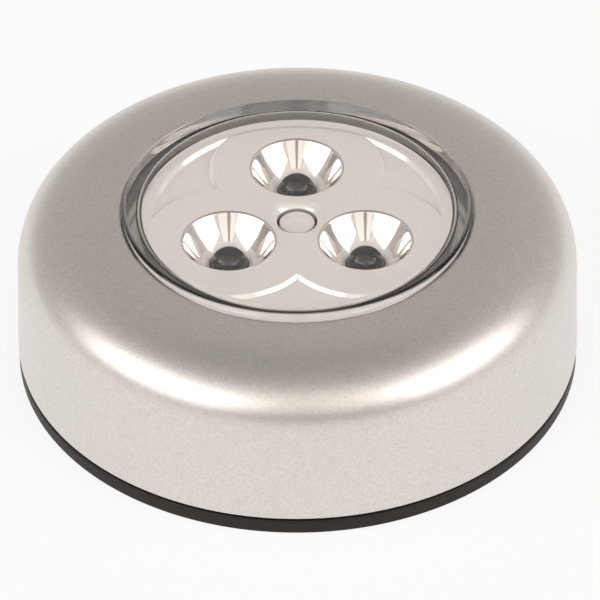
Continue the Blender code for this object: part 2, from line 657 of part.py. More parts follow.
def build_switch():
    """A square push switch: its body, the sprung plunger and the spring."""
    black = make_material("switch_black", (0.03, 0.03, 0.03), 0.45)
    body = bmesh.new()
    add_box(body, (-SWITCH_HALF, -SWITCH_HALF, BOARD_SEAT), (SWITCH_HALF, SWITCH_HALF, SWITCH_TOP))
    switch = add_piece("switch_body", mesh_from("switch_body", body), black)
    floor = BOARD_SEAT + SWITCH_FLOOR
    lip = SWITCH_TOP - SWITCH_LIP
    well = bmesh.new()
    profile = [(0.0, floor), (PLUNGER_FOOT_RADIUS + GAP, floor), (PLUNGER_FOOT_RADIUS + GAP, lip)]
    profile += [(PLUNGER_RADIUS + GAP, lip), (PLUNGER_RADIUS + GAP, SWITCH_TOP + OVERRUN)]
    profile.append((0.0, SWITCH_TOP + OVERRUN))
    turn_profile(well, profile, SMALL_SEGMENTS, False)
    combine(switch, add_operand("switch_well", well), "DIFFERENCE")
    settle(switch)

    white = make_material("plunger_white", (0.85, 0.85, 0.83), 0.4)
    foot_top = lip - GAP
    roof = PLUNGER_TOP - PLUNGER_CAP
    profile = [(0.0, roof), (PLUNGER_BORE, roof), (PLUNGER_BORE, foot_top - PLUNGER_FOOT)]
    profile += [(PLUNGER_FOOT_RADIUS, foot_top - PLUNGER_FOOT), (PLUNGER_FOOT_RADIUS, foot_top)]
    profile += [(PLUNGER_RADIUS, foot_top), (PLUNGER_RADIUS, roof), (POST_RADIUS, roof)]
    profile += [(POST_RADIUS, PLUNGER_TOP), (0.0, PLUNGER_TOP)]
    add_piece("switch_plunger", mesh_from("switch_plunger", turned(profile, SMALL_SEGMENTS)), white)

    steel = make_material("spring_steel", (0.55, 0.55, 0.56), 0.3, 1.0)
    low = floor + GAP + SWITCH_SPRING_WIRE
    high = roof - GAP - SWITCH_SPRING_WIRE
    count = SWITCH_SPRING_TURNS * SPRING_POINTS
    points = []
    for step in range(count + 1):
        angle = 2 * math.pi * step / SPRING_POINTS
        points.append((*polar(SWITCH_SPRING_RADIUS, angle), low + (high - low) * step / count))
    add_piece("switch_spring", tube_mesh("switch_spring", points, SWITCH_SPRING_WIRE, 0), steel)


def build_resistor():
    """An axial resistor that lies on the board with its leads bent down through it."""
    tan = make_material("resistor_tan", (0.62, 0.47, 0.30), 0.5)
    axis = BOARD_SEAT + RESISTOR_RADIUS
    end = RESISTOR_HALF_LENGTH
    waist = RESISTOR_RADIUS - RESISTOR_WAIST
    shoulder = end / 2
    profile = [(0.0, -end), (RESISTOR_RADIUS, -end), (RESISTOR_RADIUS, -shoulder)]
    profile += [(waist, -shoulder + RESISTOR_WAIST), (waist, shoulder - RESISTOR_WAIST)]
    profile += [(RESISTOR_RADIUS, shoulder), (RESISTOR_RADIUS, end), (0.0, end)]
    mesh = mesh_from("resistor", turned(profile, FINE_SEGMENTS))
    place = (0.0, -RESISTOR_PLACE, axis)
    resistor = add_piece("resistor", mesh, tan, place, (0.0, math.pi / 2, 0.0))

    bottom = DECK_TOP + LEG_END - axis
    points = []
    for side in (-1, 1):
        reach = side * RESISTOR_LEAD_REACH
        bend = side * (RESISTOR_LEAD_REACH - RESISTOR_LEAD_BEND)
        leg = [(reach, 0.0, bottom), (reach, 0.0, -RESISTOR_LEAD_BEND), (bend, 0.0, 0.0)]
        points += leg if side < 0 else list(reversed(leg))
    tube = tube_mesh("resistor_lead", points, RESISTOR_LEAD_RADIUS, 1)
    lead = bpy.data.objects.new("resistor_lead", tube)
    depsgraph = bpy.context.evaluated_depsgraph_get()
    bpy.context.scene.collection.objects.link(lead)
    depsgraph.update()
    solid = bpy.data.meshes.new_from_object(lead.evaluated_get(depsgraph))
    bpy.data.objects.remove(lead, do_unlink=True)
    operand = bpy.data.objects.new("resistor_lead", solid)
    operand.location = place
    operand.hide_render = True
    operand.display_type = "WIRE"
    bpy.context.scene.collection.objects.link(operand)
    combine(resistor, operand, "UNION")
    settle(resistor)


# Circuit board

def build_board():
    """A round board with holes for legs, pegs and screws."""
    green = make_material("board_green", (0.05, 0.22, 0.10), 0.45)
    disc = bmesh.new()
    add_cylinder(disc, (0.0, 0.0), BOARD_RADIUS, BOARD_BOTTOM, BOARD_TOP, MIDDLE_SEGMENTS)
    board = add_piece("circuit_board", mesh_from("circuit_board", disc), green)
    holes = bmesh.new()
    bottom = BOARD_BOTTOM - OVERRUN
    top = BOARD_TOP + OVERRUN
    for angle in CUP_ANGLES:
        x, y = polar(CUP_CIRCLE_RADIUS, angle)
        for side in (-1, 1):
            leg = (x + side * LED_LEG_SPREAD, y)
            add_cylinder(holes, leg, LEG_HOLE_RADIUS, bottom, top, FINE_SEGMENTS // 2)
    for angle in PEG_ANGLES:
        add_cylinder(holes, polar(PEG_CIRCLE_RADIUS, angle), PEG_HOLE, bottom, top, FINE_SEGMENTS)
    for side in (-1, 1):
        screw = (0.0, side * BOARD_SCREW_CIRCLE_RADIUS)
        add_cylinder(holes, screw, BOARD_SCREW_HOLE, bottom, top, FINE_SEGMENTS)
        lead = (side * RESISTOR_LEAD_REACH, -RESISTOR_PLACE)
        add_cylinder(holes, lead, LEAD_HOLE, bottom, top, FINE_SEGMENTS // 2)
    combine(board, add_operand("board_holes", holes), "DIFFERENCE")
    settle(board)


# Battery tray, cells and contacts

def window_half_width():
    """Half the width of a cell where it meets the deck's underside, with clearance."""
    rise = DECK_BOTTOM - CELL_LEVEL
    return math.sqrt(CELL_RADIUS ** 2 - rise ** 2) + GAP


def build_tray():
    """An open-bottomed box round the cells, with windows in its deck, ears and board bosses."""
    grey = make_material("tray_plastic", (0.08, 0.08, 0.085), 0.55)
    half_length = BAY_HALF_LENGTH + TRAY_END_WALL
    half_width = BAY_HALF_WIDTH + TRAY_WALL
    block = bmesh.new()
    add_box(block, (-half_length, -half_width, TRAY_BOTTOM), (half_length, half_width, DECK_TOP))
    tray = add_piece("battery_tray", mesh_from("battery_tray", block), grey)

    round_limit = bmesh.new()
    bottom = TRAY_BOTTOM - OVERRUN
    top = DECK_TOP + OVERRUN
    add_cylinder(round_limit, (0.0, 0.0), TRAY_RADIUS, bottom, top, LARGE_SEGMENTS)
    combine(tray, add_operand("tray_round_limit", round_limit), "INTERSECT")

    ears = bmesh.new()
    for angle in BOSS_ANGLES:
        x, y = polar(BOSS_CIRCLE_RADIUS, angle)
        root = math.copysign(half_width - EMBED, y)
        add_prism(ears, tongue(x, root, y, EAR_RADIUS, FINE_SEGMENTS), DECK_TOP - EAR_THICKNESS, DECK_TOP)
    combine(tray, add_operand("tray_ears", ears), "UNION")

    bosses = bmesh.new()
    foot = BOARD_SEAT - BOARD_SCREW_LENGTH - LUG_BOSS_FOOT
    for side in (-1, 1):
        root = side * (half_width - EMBED)
        outline = tongue(0.0, root, side * BOARD_SCREW_CIRCLE_RADIUS, LUG_BOSS_RADIUS, FINE_SEGMENTS)
        add_prism(bosses, outline, foot, BOARD_BOTTOM - GAP)
    combine(tray, add_operand("tray_board_bosses", bosses), "UNION")

    bay = bmesh.new()
    low = (-BAY_HALF_LENGTH, -BAY_HALF_WIDTH, TRAY_BOTTOM - OVERRUN)
    add_box(bay, low, (BAY_HALF_LENGTH, BAY_HALF_WIDTH, DECK_BOTTOM))
    combine(tray, add_operand("tray_bay", bay), "DIFFERENCE")

    openings = bmesh.new()
    half_window = PLATE_FACE - CELL_NUB
    width = window_half_width()
    for row in range(len(CELL_SIGNS)):
        y = (row - 1) * CELL_PITCH
        low = (-half_window, y - width, DECK_BOTTOM - GAP)
        add_box(openings, low, (half_window, y + width, DECK_TOP + OVERRUN))
    for side in (-1, 1):
        x = side * PLATE_MIDDLE
        y = side * CELL_PITCH
        slot_x = PLATE_THICKNESS / 2 + GAP
        slot_y = TAB_HALF_WIDTH + GAP
        low = (x - slot_x, y - slot_y, DECK_BOTTOM - GAP)
        add_box(openings, low, (x + slot_x, y + slot_y, DECK_TOP + OVERRUN))
    combine(tray, add_operand("tray_windows", openings), "DIFFERENCE")

    holes = bmesh.new()
    for angle in BOSS_ANGLES:
        place = polar(BOSS_CIRCLE_RADIUS, angle)
        add_cylinder(holes, place, TRAY_SCREW_HOLE, DECK_BOTTOM - OVERRUN, top, FINE_SEGMENTS)
    for side in (-1, 1):
        place = (0.0, side * BOARD_SCREW_CIRCLE_RADIUS)
        depth = BOARD_SEAT - BOARD_SCREW_LENGTH - GAP
        add_cylinder(holes, place, BOARD_SCREW_HOLE, depth, BOARD_BOTTOM + OVERRUN, FINE_SEGMENTS)
    combine(tray, add_operand("tray_screw_holes", holes), "DIFFERENCE")
    settle(tray)


def build_cells():
    """Three cells side by side, the middle one the other way round."""
    sleeve = make_material("cell_sleeve", (0.10, 0.11, 0.13), 0.35, 0.3)
    start = -CELL_LENGTH / 2
    shoulder = start + CELL_BODY
    profile = [
        (0.0, start),
        (CELL_RADIUS - CELL_EDGE, start),
        (CELL_RADIUS, start + CELL_EDGE),
        (CELL_RADIUS, shoulder - CELL_EDGE),
        (CELL_RADIUS - CELL_EDGE, shoulder),
        (CELL_NUB_RADIUS, shoulder),
        (CELL_NUB_RADIUS, -start),
        (0.0, -start),
    ]
    mesh = mesh_from("cell", turned(profile, SMALL_SEGMENTS))
    for row, sign in enumerate(CELL_SIGNS):
        place = (sign * CELL_OFFSET, (row - 1) * CELL_PITCH, CELL_LEVEL)
        add_piece("cell_%d" % (row + 1), mesh, sleeve, place, (0.0, sign * math.pi / 2, 0.0))


def plate_box(shape, side, first_row, last_row):
    """A contact plate that stands at one end of the bay, across one cell or two."""
    x = side * PLATE_MIDDLE
    low_y = (first_row - 1) * CELL_PITCH - PLATE_HALF_WIDTH
    high_y = (last_row - 1) * CELL_PITCH + PLATE_HALF_WIDTH
    low = (x - PLATE_THICKNESS / 2, low_y, TRAY_BOTTOM + PLATE_FOOT)
    add_box(shape, low, (x + PLATE_THICKNESS / 2, high_y, DECK_BOTTOM - GAP))


def build_contacts():
    """Two end plates with solder tabs, two bridges, and a conical spring behind each flat cell end."""
    nickel = make_material("nickel_plate", (0.70, 0.69, 0.66), 0.25, 1.0)
    for name, side, row in (("contact_plate_negative", -1, 0), ("contact_plate_positive", 1, 2)):
        plate = bmesh.new()
        plate_box(plate, side, row, row)
        piece = add_piece(name, mesh_from(name, plate), nickel)
        tab = bmesh.new()
        x = side * PLATE_MIDDLE
        y = (row - 1) * CELL_PITCH
        low = (x - PLATE_THICKNESS / 2, y - TAB_HALF_WIDTH, CELL_LEVEL)
        add_box(tab, low, (x + PLATE_THICKNESS / 2, y + TAB_HALF_WIDTH, DECK_TOP + TAB_RISE))
        combine(piece, add_operand(name + "_tab", tab), "UNION")
        settle(piece)
    for name, side, row in (("contact_bridge_right", 1, 0), ("contact_bridge_left", -1, 1)):
        plate = bmesh.new()
        plate_box(plate, side, row, row + 1)
        add_piece(name, mesh_from(name, plate), nickel)

    steel = make_material("contact_spring_steel", (0.62, 0.61, 0.60), 0.3, 1.0)
    count = int(SPRING_TURNS * SPRING_POINTS)
    rise = SPRING_LENGTH - 2 * SPRING_WIRE
    points = []
    for step in range(count + 1):
        share = step / count
        radius = SPRING_BASE_RADIUS + (SPRING_TIP_RADIUS - SPRING_BASE_RADIUS) * share
        points.append((*polar(radius, 2 * math.pi * step / SPRING_POINTS), SPRING_WIRE + rise * share))
    curve = tube_mesh("contact_spring", points, SPRING_WIRE, 1)
    curve.materials.append(steel)
    for row, sign in enumerate(CELL_SIGNS):
        place = (-sign * (PLATE_FACE - GAP), (row - 1) * CELL_PITCH, CELL_LEVEL)
        spring = bpy.data.objects.new("contact_spring_%d" % (row + 1), curve)
        spring.location = place
        spring.rotation_euler = (0.0, sign * math.pi / 2, 0.0)
        bpy.context.scene.collection.objects.link(spring)


def build_lead_wires():
    """A short wire from each solder tab up and over to the board."""
    for name, side, colour in (("lead_wire_red", 1, RED_WIRE), ("lead_wire_black", -1, BLACK_WIRE)):
        rubber = make_material(name, colour, 0.5)
        start = (side * PLATE_MIDDLE, side * CELL_PITCH, DECK_TOP + TAB_RISE + GAP)
        pad = polar(side * BOARD_SCREW_CIRCLE_RADIUS, LEAD_PAD_ANGLE)
        end = (*pad, BOARD_SEAT)
        points = []
        for step in range(LEAD_WIRE_POINTS + 1):
            share = step / LEAD_WIRE_POINTS
            ease = share * share * (3 - 2 * share)
            lift = 4 * LEAD_WIRE_ARCH * share * (1 - share)
            flat = [start[axis] + (end[axis] - start[axis]) * ease for axis in range(3)]
            points.append((flat[0], flat[1], flat[2] + lift))
        curve = tube_mesh(name, points, LEAD_WIRE_RADIUS, 1)
        curve.materials.append(rubber)
        wire = bpy.data.objects.new(name, curve)
        bpy.context.scene.collection.objects.link(wire)


# Screws

def screw_mesh(name, shank, head, head_height, length):
    """A pan-head screw that points down, with the underside of its head at zero."""
    shoulder = head * (1 - SCREW_HEAD_ROUND_SHARE / 2)
    profile = [
        (0.0, head_height),
        (shoulder, head_height),
        (head, head_height * (1 - SCREW_HEAD_ROUND_SHARE)),
        (head, 0.0),
        (shank, 0.0),
        (shank, -length + shank),
        (shank * SCREW_POINT_SHARE, -length),
        (0.0, -length),
    ]
    return mesh_from(name, turned(profile, FINE_SEGMENTS))


def build_screws():
    """Three screws hold the tray under the crown, and two hold the board on the tray."""
    zinc = make_material("zinc_plate", (0.60, 0.60, 0.60), 0.35, 1.0)
    mesh = screw_mesh(
        "tray_screw", TRAY_SCREW_SHANK, TRAY_SCREW_HEAD, TRAY_SCREW_HEAD_HEIGHT, TRAY_SCREW_LENGTH)
    for index, angle in enumerate(BOSS_ANGLES):
        place = (*polar(BOSS_CIRCLE_RADIUS, angle), DECK_TOP - EAR_THICKNESS - GAP)
        add_piece("tray_screw_%d" % (index + 1), mesh, zinc, place, (math.pi, 0.0, 0.0))
    mesh = screw_mesh(
        "board_screw", BOARD_SCREW_SHANK, BOARD_SCREW_HEAD, BOARD_SCREW_HEAD_HEIGHT, BOARD_SCREW_LENGTH)
    for index, side in enumerate((1, -1)):
        place = (0.0, side * BOARD_SCREW_CIRCLE_RADIUS, BOARD_SEAT)
        add_piece("board_screw_%d" % (index + 1), mesh, zinc, place)


# Back cover

def build_cover():
    """The black base, which twists off: floor, band, plug ring, lugs and thumb recesses."""
    black = make_material("cover_black", (0.045, 0.042, 0.040), 0.5)
    profile = [
        (0.0, 0.0),
        (COVER_RADIUS - COVER_EDGE, 0.0),
        (COVER_RADIUS, COVER_EDGE),
        (COVER_RADIUS, COVER_BAND),
        (PLUG_RADIUS, COVER_BAND),
        (PLUG_RADIUS, PLUG_TOP),
        (PLUG_BORE, PLUG_TOP),
        (PLUG_BORE, COVER_FLOOR),
        (0.0, COVER_FLOOR),
    ]
    cover = add_piece("back_cover", mesh_from("back_cover", turned(profile, LARGE_SEGMENTS)), black)
    lugs = bmesh.new()
    for angle in LUG_ANGLES:
        start = angle - LUG_SWEEP / 2
        lug = arc_band(PLUG_RADIUS - EMBED, LUG_RADIUS, start, start + LUG_SWEEP, FINE_SEGMENTS // 2)
        add_prism(lugs, lug, LUG_BOTTOM, PLUG_TOP - LUG_STEP)
    combine(cover, add_operand("cover_lugs", lugs), "UNION")

    recesses = bmesh.new()
    for side in (-1, 1):
        x = side * RECESS_PLACE
        straight = RECESS_HALF_LENGTH - RECESS_HALF_WIDTH
        slot = arc_points((x, straight), RECESS_HALF_WIDTH, 0.0, math.pi, FINE_SEGMENTS)
        slot += arc_points((x, -straight), RECESS_HALF_WIDTH, math.pi, 2 * math.pi, FINE_SEGMENTS)
        add_prism(recesses, slot, -OVERRUN, RECESS_DEPTH)
    combine(cover, add_operand("thumb_recesses", recesses), "DIFFERENCE")
    settle(cover)


def main():
    """Build the whole light."""
    clear_scene()
    build_housing()
    build_lens()
    build_reflector()
    build_leds()
    build_switch()
    build_resistor()
    build_board()
    build_tray()
    build_cells()
    build_contacts()
    build_lead_wires()
    build_screws()
    build_cover()


main()
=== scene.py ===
"""Looks of a round battery puck light: silver lacquered shell, clear push lens, plated reflector
with three diodes, black twist-off cover, and the parts inside. Metres, +Z up, front at -Y."""

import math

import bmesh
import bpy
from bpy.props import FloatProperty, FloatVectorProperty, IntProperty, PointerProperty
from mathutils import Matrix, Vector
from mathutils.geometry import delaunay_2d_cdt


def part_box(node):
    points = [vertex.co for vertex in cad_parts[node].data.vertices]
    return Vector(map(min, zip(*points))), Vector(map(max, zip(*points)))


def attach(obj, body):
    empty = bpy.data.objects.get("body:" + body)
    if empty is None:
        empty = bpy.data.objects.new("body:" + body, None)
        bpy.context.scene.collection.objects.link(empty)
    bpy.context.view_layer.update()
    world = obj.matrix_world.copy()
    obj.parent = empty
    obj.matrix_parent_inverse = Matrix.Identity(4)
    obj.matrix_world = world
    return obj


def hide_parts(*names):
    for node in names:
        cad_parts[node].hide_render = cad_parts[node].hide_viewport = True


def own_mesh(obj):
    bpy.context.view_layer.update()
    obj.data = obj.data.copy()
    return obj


bl_info = {
    "name": "Puck Light",
    "version": (1, 0, 0),
    "blender": (4, 5, 0),
    "location": "3D View > Sidebar > Puck Light",
    "description": "Dresses a battery puck light with its finished pieces, materials and studio",
    "category": "Object",
}

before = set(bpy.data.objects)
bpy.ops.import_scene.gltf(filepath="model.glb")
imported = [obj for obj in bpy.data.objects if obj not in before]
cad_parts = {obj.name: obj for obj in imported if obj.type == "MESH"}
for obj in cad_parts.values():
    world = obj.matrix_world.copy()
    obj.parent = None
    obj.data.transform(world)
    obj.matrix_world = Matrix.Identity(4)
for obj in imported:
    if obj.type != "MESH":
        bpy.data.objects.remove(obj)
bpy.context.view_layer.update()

# Boxes of the fixed pieces, from which the finished ones take their place and size
SHELL_LOW, SHELL_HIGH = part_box("housing_shell")
LENS_LOW, LENS_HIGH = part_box("lens_button")
REFLECTOR_LOW, REFLECTOR_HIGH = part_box("reflector")
COVER_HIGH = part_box("back_cover")[1]
LED_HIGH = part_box("led_back")[1]
LED_NAMES = ("led_back", "led_left", "led_right")
PLUNGER_LOW, PLUNGER_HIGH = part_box("switch_plunger")
COIL_LOW, COIL_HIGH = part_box("switch_spring")
MM = 0.001
BOARD_SEAT = 13.9 * MM  # Top of the circuit board
WELD = 1e-7
CREASE = 35  # Degrees past which an edge is shaded sharp
ROUND_STEPS = 5  # Over a rounded edge
BEND_STEPS = 24  # Along a wide bend
SMALL_STEPS = 32  # Round a boss or peg
TURN_STEPS = 64  # Round a diode or the plunger
FULL_TURN = 2 * math.pi
THIRDS = tuple(math.radians(angle) for angle in (90, 210, 330))


# Settings, colours and nodes

def measure(name, description, default):
    """A size that the user can change."""
    return FloatProperty(name=name, description=description, subtype="DISTANCE", default=default, min=0.0)


def fraction(name, description, default):
    """A value from 0 to 1 that the user can change."""
    return FloatProperty(name=name, description=description, default=default, min=0.0, max=1.0)


def whole(name, description, default, least=3):
    """A whole number that the user can change."""
    return IntProperty(name=name, description=description, default=default, min=least)


def paint(name, description, hex_colour):
    """A colour that the user can change."""
    return FloatVectorProperty(name=name, description=description, subtype="COLOR", size=4,
                               default=linear(hex_colour), min=0.0, max=1.0)


def linear(hex_colour):
    """An sRGB hex colour as linear red, green and blue, with full alpha."""
    parts = [int(hex_colour[start:start + 2], 16) / 255 for start in (1, 3, 5)]
    return tuple(c / 12.92 if c <= 0.04045 else ((c + 0.055) / 1.055) ** 2.4 for c in parts) + (1.0,)


def add_node(tree, kind, sources=None, **settings):
    """Add a node with its settings, and feed its inputs from sockets or plain values."""
    node = tree.nodes.new(kind)
    for name, value in settings.items():
        setattr(node, name, value)
    for key, source in (sources or {}).items():
        if isinstance(source, bpy.types.NodeSocket):
            tree.links.new(source, node.inputs[key])
        else:
            node.inputs[key].default_value = source
    return node


def new_material(name, colour, metallic=0.0, **sockets):
    """A Principled material and its tree, shader and object coordinates."""
    material = bpy.data.materials.new(name)
    material.use_nodes = True
    tree = material.node_tree
    shader = tree.nodes["Principled BSDF"]
    shader.inputs["Base Color"].default_value = colour
    shader.inputs["Metallic"].default_value = metallic
    for name, value in sockets.items():
        shader.inputs[name.replace("_", " ")].default_value = value
    material.diffuse_color = colour
    return material, tree, shader, add_node(tree, "ShaderNodeTexCoord").outputs["Object"]


def follow(tree, shader, pattern, colour=None, spread=0.0, roughness=None, depth=0.0):
    """Let a pattern from 0 to 1 shade the colour by a share, move the roughness and raise the surface."""
    if spread:
        dark = tuple(channel * (1 - spread) for channel in colour[:3]) + (1.0,)
        light = tuple(min(channel * (1 + spread), 1.0) for channel in colour[:3]) + (1.0,)
        mixed = add_node(tree, "ShaderNodeMix", {0: pattern, 6: dark, 7: light}, data_type="RGBA")
        tree.links.new(mixed.outputs[2], shader.inputs["Base Color"])
    if roughness:
        shader.inputs["Roughness"].default_value = sum(roughness) / 2
        mapped = add_node(tree, "ShaderNodeMapRange", {0: pattern, 3: roughness[0], 4: roughness[1]})
        tree.links.new(mapped.outputs[0], shader.inputs["Roughness"])
    if depth:
        bump = add_node(tree, "ShaderNodeBump", {"Strength": 1.0, "Distance": depth, "Height": pattern})
        tree.links.new(bump.outputs[0], shader.inputs["Normal"])


def grained(name, colour, roughness, grain, detail=3.0, depth=0.0, spread=0.0, metallic=0.0, **sockets):
    """A finish whose colour, roughness and relief follow one grain of a real size."""
    material, tree, shader, place = new_material(name, colour, metallic, **sockets)
    noise = add_node(tree, "ShaderNodeTexNoise", {"Vector": place, "Scale": 1 / grain, "Detail": detail})
    follow(tree, shader, noise.outputs[0], colour, spread, roughness, depth)
    return material


# Materials

def silver_lacquer(settings):
    """Metallic lacquer sprayed on moulded ABS: satin, with fine flakes and a faint orange peel."""
    satin = settings.lacquer_roughness
    material, tree, shader, place = new_material(
        "silver_lacquer_on_abs", settings.lacquer, 0.85, Coat_Weight=0.08, Coat_Roughness=0.25)
    flakes = add_node(tree, "ShaderNodeTexVoronoi", {"Vector": place, "Scale": 1 / settings.flake_size})
    tone = add_node(tree, "ShaderNodeSeparateColor", {0: flakes.outputs["Color"]})
    follow(tree, shader, tone.outputs[0], settings.lacquer, spread=0.08)
    peel = add_node(tree, "ShaderNodeTexNoise", {"Vector": place, "Scale": 1 / (1.6 * MM), "Detail": 2.0})
    follow(tree, shader, peel.outputs[0], roughness=(satin - 0.03, satin + 0.03), depth=0.004 * MM)
    return material


def clear_acrylic(settings):
    """Injection-moulded acrylic, polished: index 1.49, with a faint uneven haze."""
    return grained("clear_acrylic", settings.tint, (0.0, 0.03), 9 * MM, Transmission_Weight=1.0, IOR=1.49)


def plated_satin(settings):
    """Vacuum-plated polystyrene with a satin face: a soft mirror, slightly uneven."""
    satin = settings.satin_roughness
    return grained("plated_satin_polystyrene", settings.plating, (satin - 0.04, satin + 0.04), 3.5 * MM,
                   detail=2.0, depth=0.01 * MM, metallic=settings.satin_metal)


def plated_mirror(settings):
    """The same plating over polished cups: a bright mirror with a fine ripple."""
    polish = settings.mirror_roughness
    return grained("plated_mirror_polystyrene", settings.plating, (polish, polish + 0.04), 1.2 * MM,
                   detail=2.0, depth=0.004 * MM, metallic=1.0)


def diode_epoxy(settings):
    """Cast clear epoxy, index 1.53, with a slight smoke tint and small casting waves."""
    return grained("cast_diode_epoxy", settings.epoxy, (0.0, 0.05), 1.5 * MM, detail=1.0,
                   Transmission_Weight=1.0, IOR=1.53)


def white_acetal(settings):
    """Moulded white acetal: smooth and waxy, with a little light carried under its skin."""
    return grained("moulded_white_acetal", settings.acetal, (0.25, 0.38), 0.8 * MM, detail=2.0, spread=0.03,
                   Subsurface_Weight=0.2, Subsurface_Scale=0.5 * MM)


def cover_abs(settings):
    """Moulded black ABS with a fine spark-eroded grain."""
    return grained("moulded_black_abs", settings.plastic, (0.40, 0.56), 0.35 * MM, depth=0.012 * MM,
                   spread=0.25, IOR=1.54, Specular_IOR_Level=0.25)


def plain_finish(name, hex_colour, roughness, metallic, grain, depth, spread):
    """A finish of an inner piece, named for what it is and how it was made."""
    return grained(name, linear(hex_colour), (roughness * 0.85, roughness * 1.15), grain,
                   depth=depth, spread=spread, metallic=metallic)


# Shapes

def polar(radius, angle):
    """A point on a circle round the light's axis."""
    return (radius * math.cos(angle), radius * math.sin(angle))


def arc(centre, radius, start, end, steps):
    """Points along an arc between two angles, both ends included."""
    points = []
    for step in range(steps + 1):
        angle = start + (end - start) * step / steps
        points.append((centre[0] + radius * math.cos(angle), centre[1] + radius * math.sin(angle)))
    return points


def circle(centre, radius, steps):
    """Points once round a circle."""
    return arc(centre, radius, 0.0, FULL_TURN, steps)[:-1]


def superellipse(outer, low, inner, high, exponent, steps):
    """A quarter of a superellipse from (outer, low) up to (inner, high), as radius and height."""
    points = []
    for step in range(steps + 1):
        angle = math.pi / 2 * step / steps
        across = max(math.cos(angle), 0.0) ** (2 / exponent)
        rise = math.sin(angle) ** (2 / exponent)
        points.append((inner + (outer - inner) * across, low + (high - low) * rise))
    return points


def new_tree(name, inputs):
    """A node tree with named inputs, each a name, a kind and maybe a default, and their sockets."""
    tree = bpy.data.node_groups.new(name, "GeometryNodeTree")
    for label, kind, *default in inputs:
        socket = tree.interface.new_socket(label, in_out="INPUT", socket_type="NodeSocket" + kind)
        if default:
            socket.default_value = default[0]
    tree.interface.new_socket("Result", in_out="OUTPUT", socket_type="NodeSocketGeometry")
    return tree, add_node(tree, "NodeGroupInput").outputs[:len(inputs)]


def end_tree(tree, result, finish):
    """Make a tree's result real, give it its finish and put it out."""
    real = add_node(tree, "GeometryNodeRealizeInstances", {0: result})
    painted = add_node(tree, "GeometryNodeSetMaterial", {0: real.outputs[0], "Material": finish})
    add_node(tree, "NodeGroupOutput", {0: painted.outputs[0]})
    return tree


def lathe_tree():
    """Node tree that spins a profile of points round Z: radius is X and height is Z."""
    tree, (profile, segments, weld, finish) = new_tree("lathe", (
        ("Profile", "Geometry"), ("Segments", "Int", 128), ("Weld Distance", "Float", WELD),
        ("Finish", "Material")))
    count = add_node(tree, "GeometryNodeAttributeDomainSize", {0: profile}, component="MESH").outputs[0]
    columns = add_node(tree, "ShaderNodeMath", {0: segments, 1: 1.0}, operation="ADD")
    grid = add_node(tree, "GeometryNodeMeshGrid", {2: columns.outputs[0], 3: count})
    index = add_node(tree, "GeometryNodeInputIndex").outputs[0]
    column = add_node(tree, "ShaderNodeMath", {0: index, 1: count}, operation="DIVIDE")
    column = add_node(tree, "ShaderNodeMath", {0: column.outputs[0]}, operation="FLOOR")
    row = add_node(tree, "ShaderNodeMath", {0: index, 1: count}, operation="MODULO")
    turn = add_node(tree, "ShaderNodeMath", {0: column.outputs[0], 1: segments}, operation="DIVIDE")
    angle = add_node(tree, "ShaderNodeMath", {0: turn.outputs[0], 1: FULL_TURN}, operation="MULTIPLY")
    position = add_node(tree, "GeometryNodeInputPosition").outputs[0]
    point = add_node(tree, "GeometryNodeSampleIndex", {0: profile, "Index": row.outputs[0]},
                     data_type="FLOAT_VECTOR", domain="POINT")
    tree.links.new(position, point.inputs[1])
    spun = add_node(tree, "ShaderNodeVectorRotate", {0: point.outputs[0], "Angle": angle.outputs[0]},
                    rotation_type="Z_AXIS")
    moved = add_node(tree, "GeometryNodeSetPosition", {0: grid.outputs[0], 2: spun.outputs[0]})
    welded = add_node(tree, "GeometryNodeMergeByDistance", {0: moved.outputs[0], "Distance": weld})
    return end_tree(tree, welded.outputs[0], finish)


def scatter_tree():
    """Node tree that puts a piece at each point of a mesh, turned by the point's turn attribute."""
    tree, (places, piece, finish) = new_tree("scatter", (
        ("Places", "Geometry"), ("Piece", "Object"), ("Finish", "Material")))
    source = add_node(tree, "GeometryNodeObjectInfo", {0: piece})
    turn = add_node(tree, "GeometryNodeInputNamedAttribute", {0: "turn"}, data_type="FLOAT_VECTOR")
    spread = add_node(tree, "GeometryNodeInstanceOnPoints",
                      {0: places, "Instance": source.outputs["Geometry"], "Rotation": turn.outputs[0]})
    return end_tree(tree, spread.outputs[0], finish)


def wire_tree():
    """Node tree that lays a round wire along a path of points."""
    tree, (path, radius, sides, finish) = new_tree("wire", (
        ("Path", "Geometry"), ("Wire Radius", "Float"), ("Sides", "Int", 10), ("Finish", "Material")))
    line = add_node(tree, "GeometryNodeMeshToCurve", {0: path})
    ring = add_node(tree, "GeometryNodeCurvePrimitiveCircle", {"Resolution": sides, "Radius": radius})
    swept = add_node(tree, "GeometryNodeCurveToMesh",
                     {"Curve": line.outputs[0], "Profile Curve": ring.outputs[0], "Fill Caps": True})
    return end_tree(tree, swept.outputs[0], finish)


TREES = {"lathe": lathe_tree, "scatter": scatter_tree, "wire": wire_tree}


def link(name, data):
    """A new object in the scene."""
    item = bpy.data.objects.new(name, data)
    bpy.context.scene.collection.objects.link(item)
    return item


def as_mesh(shape, mesh):
    """Write a bmesh into a mesh, and free it."""
    shape.to_mesh(mesh)
    shape.free()
    return mesh


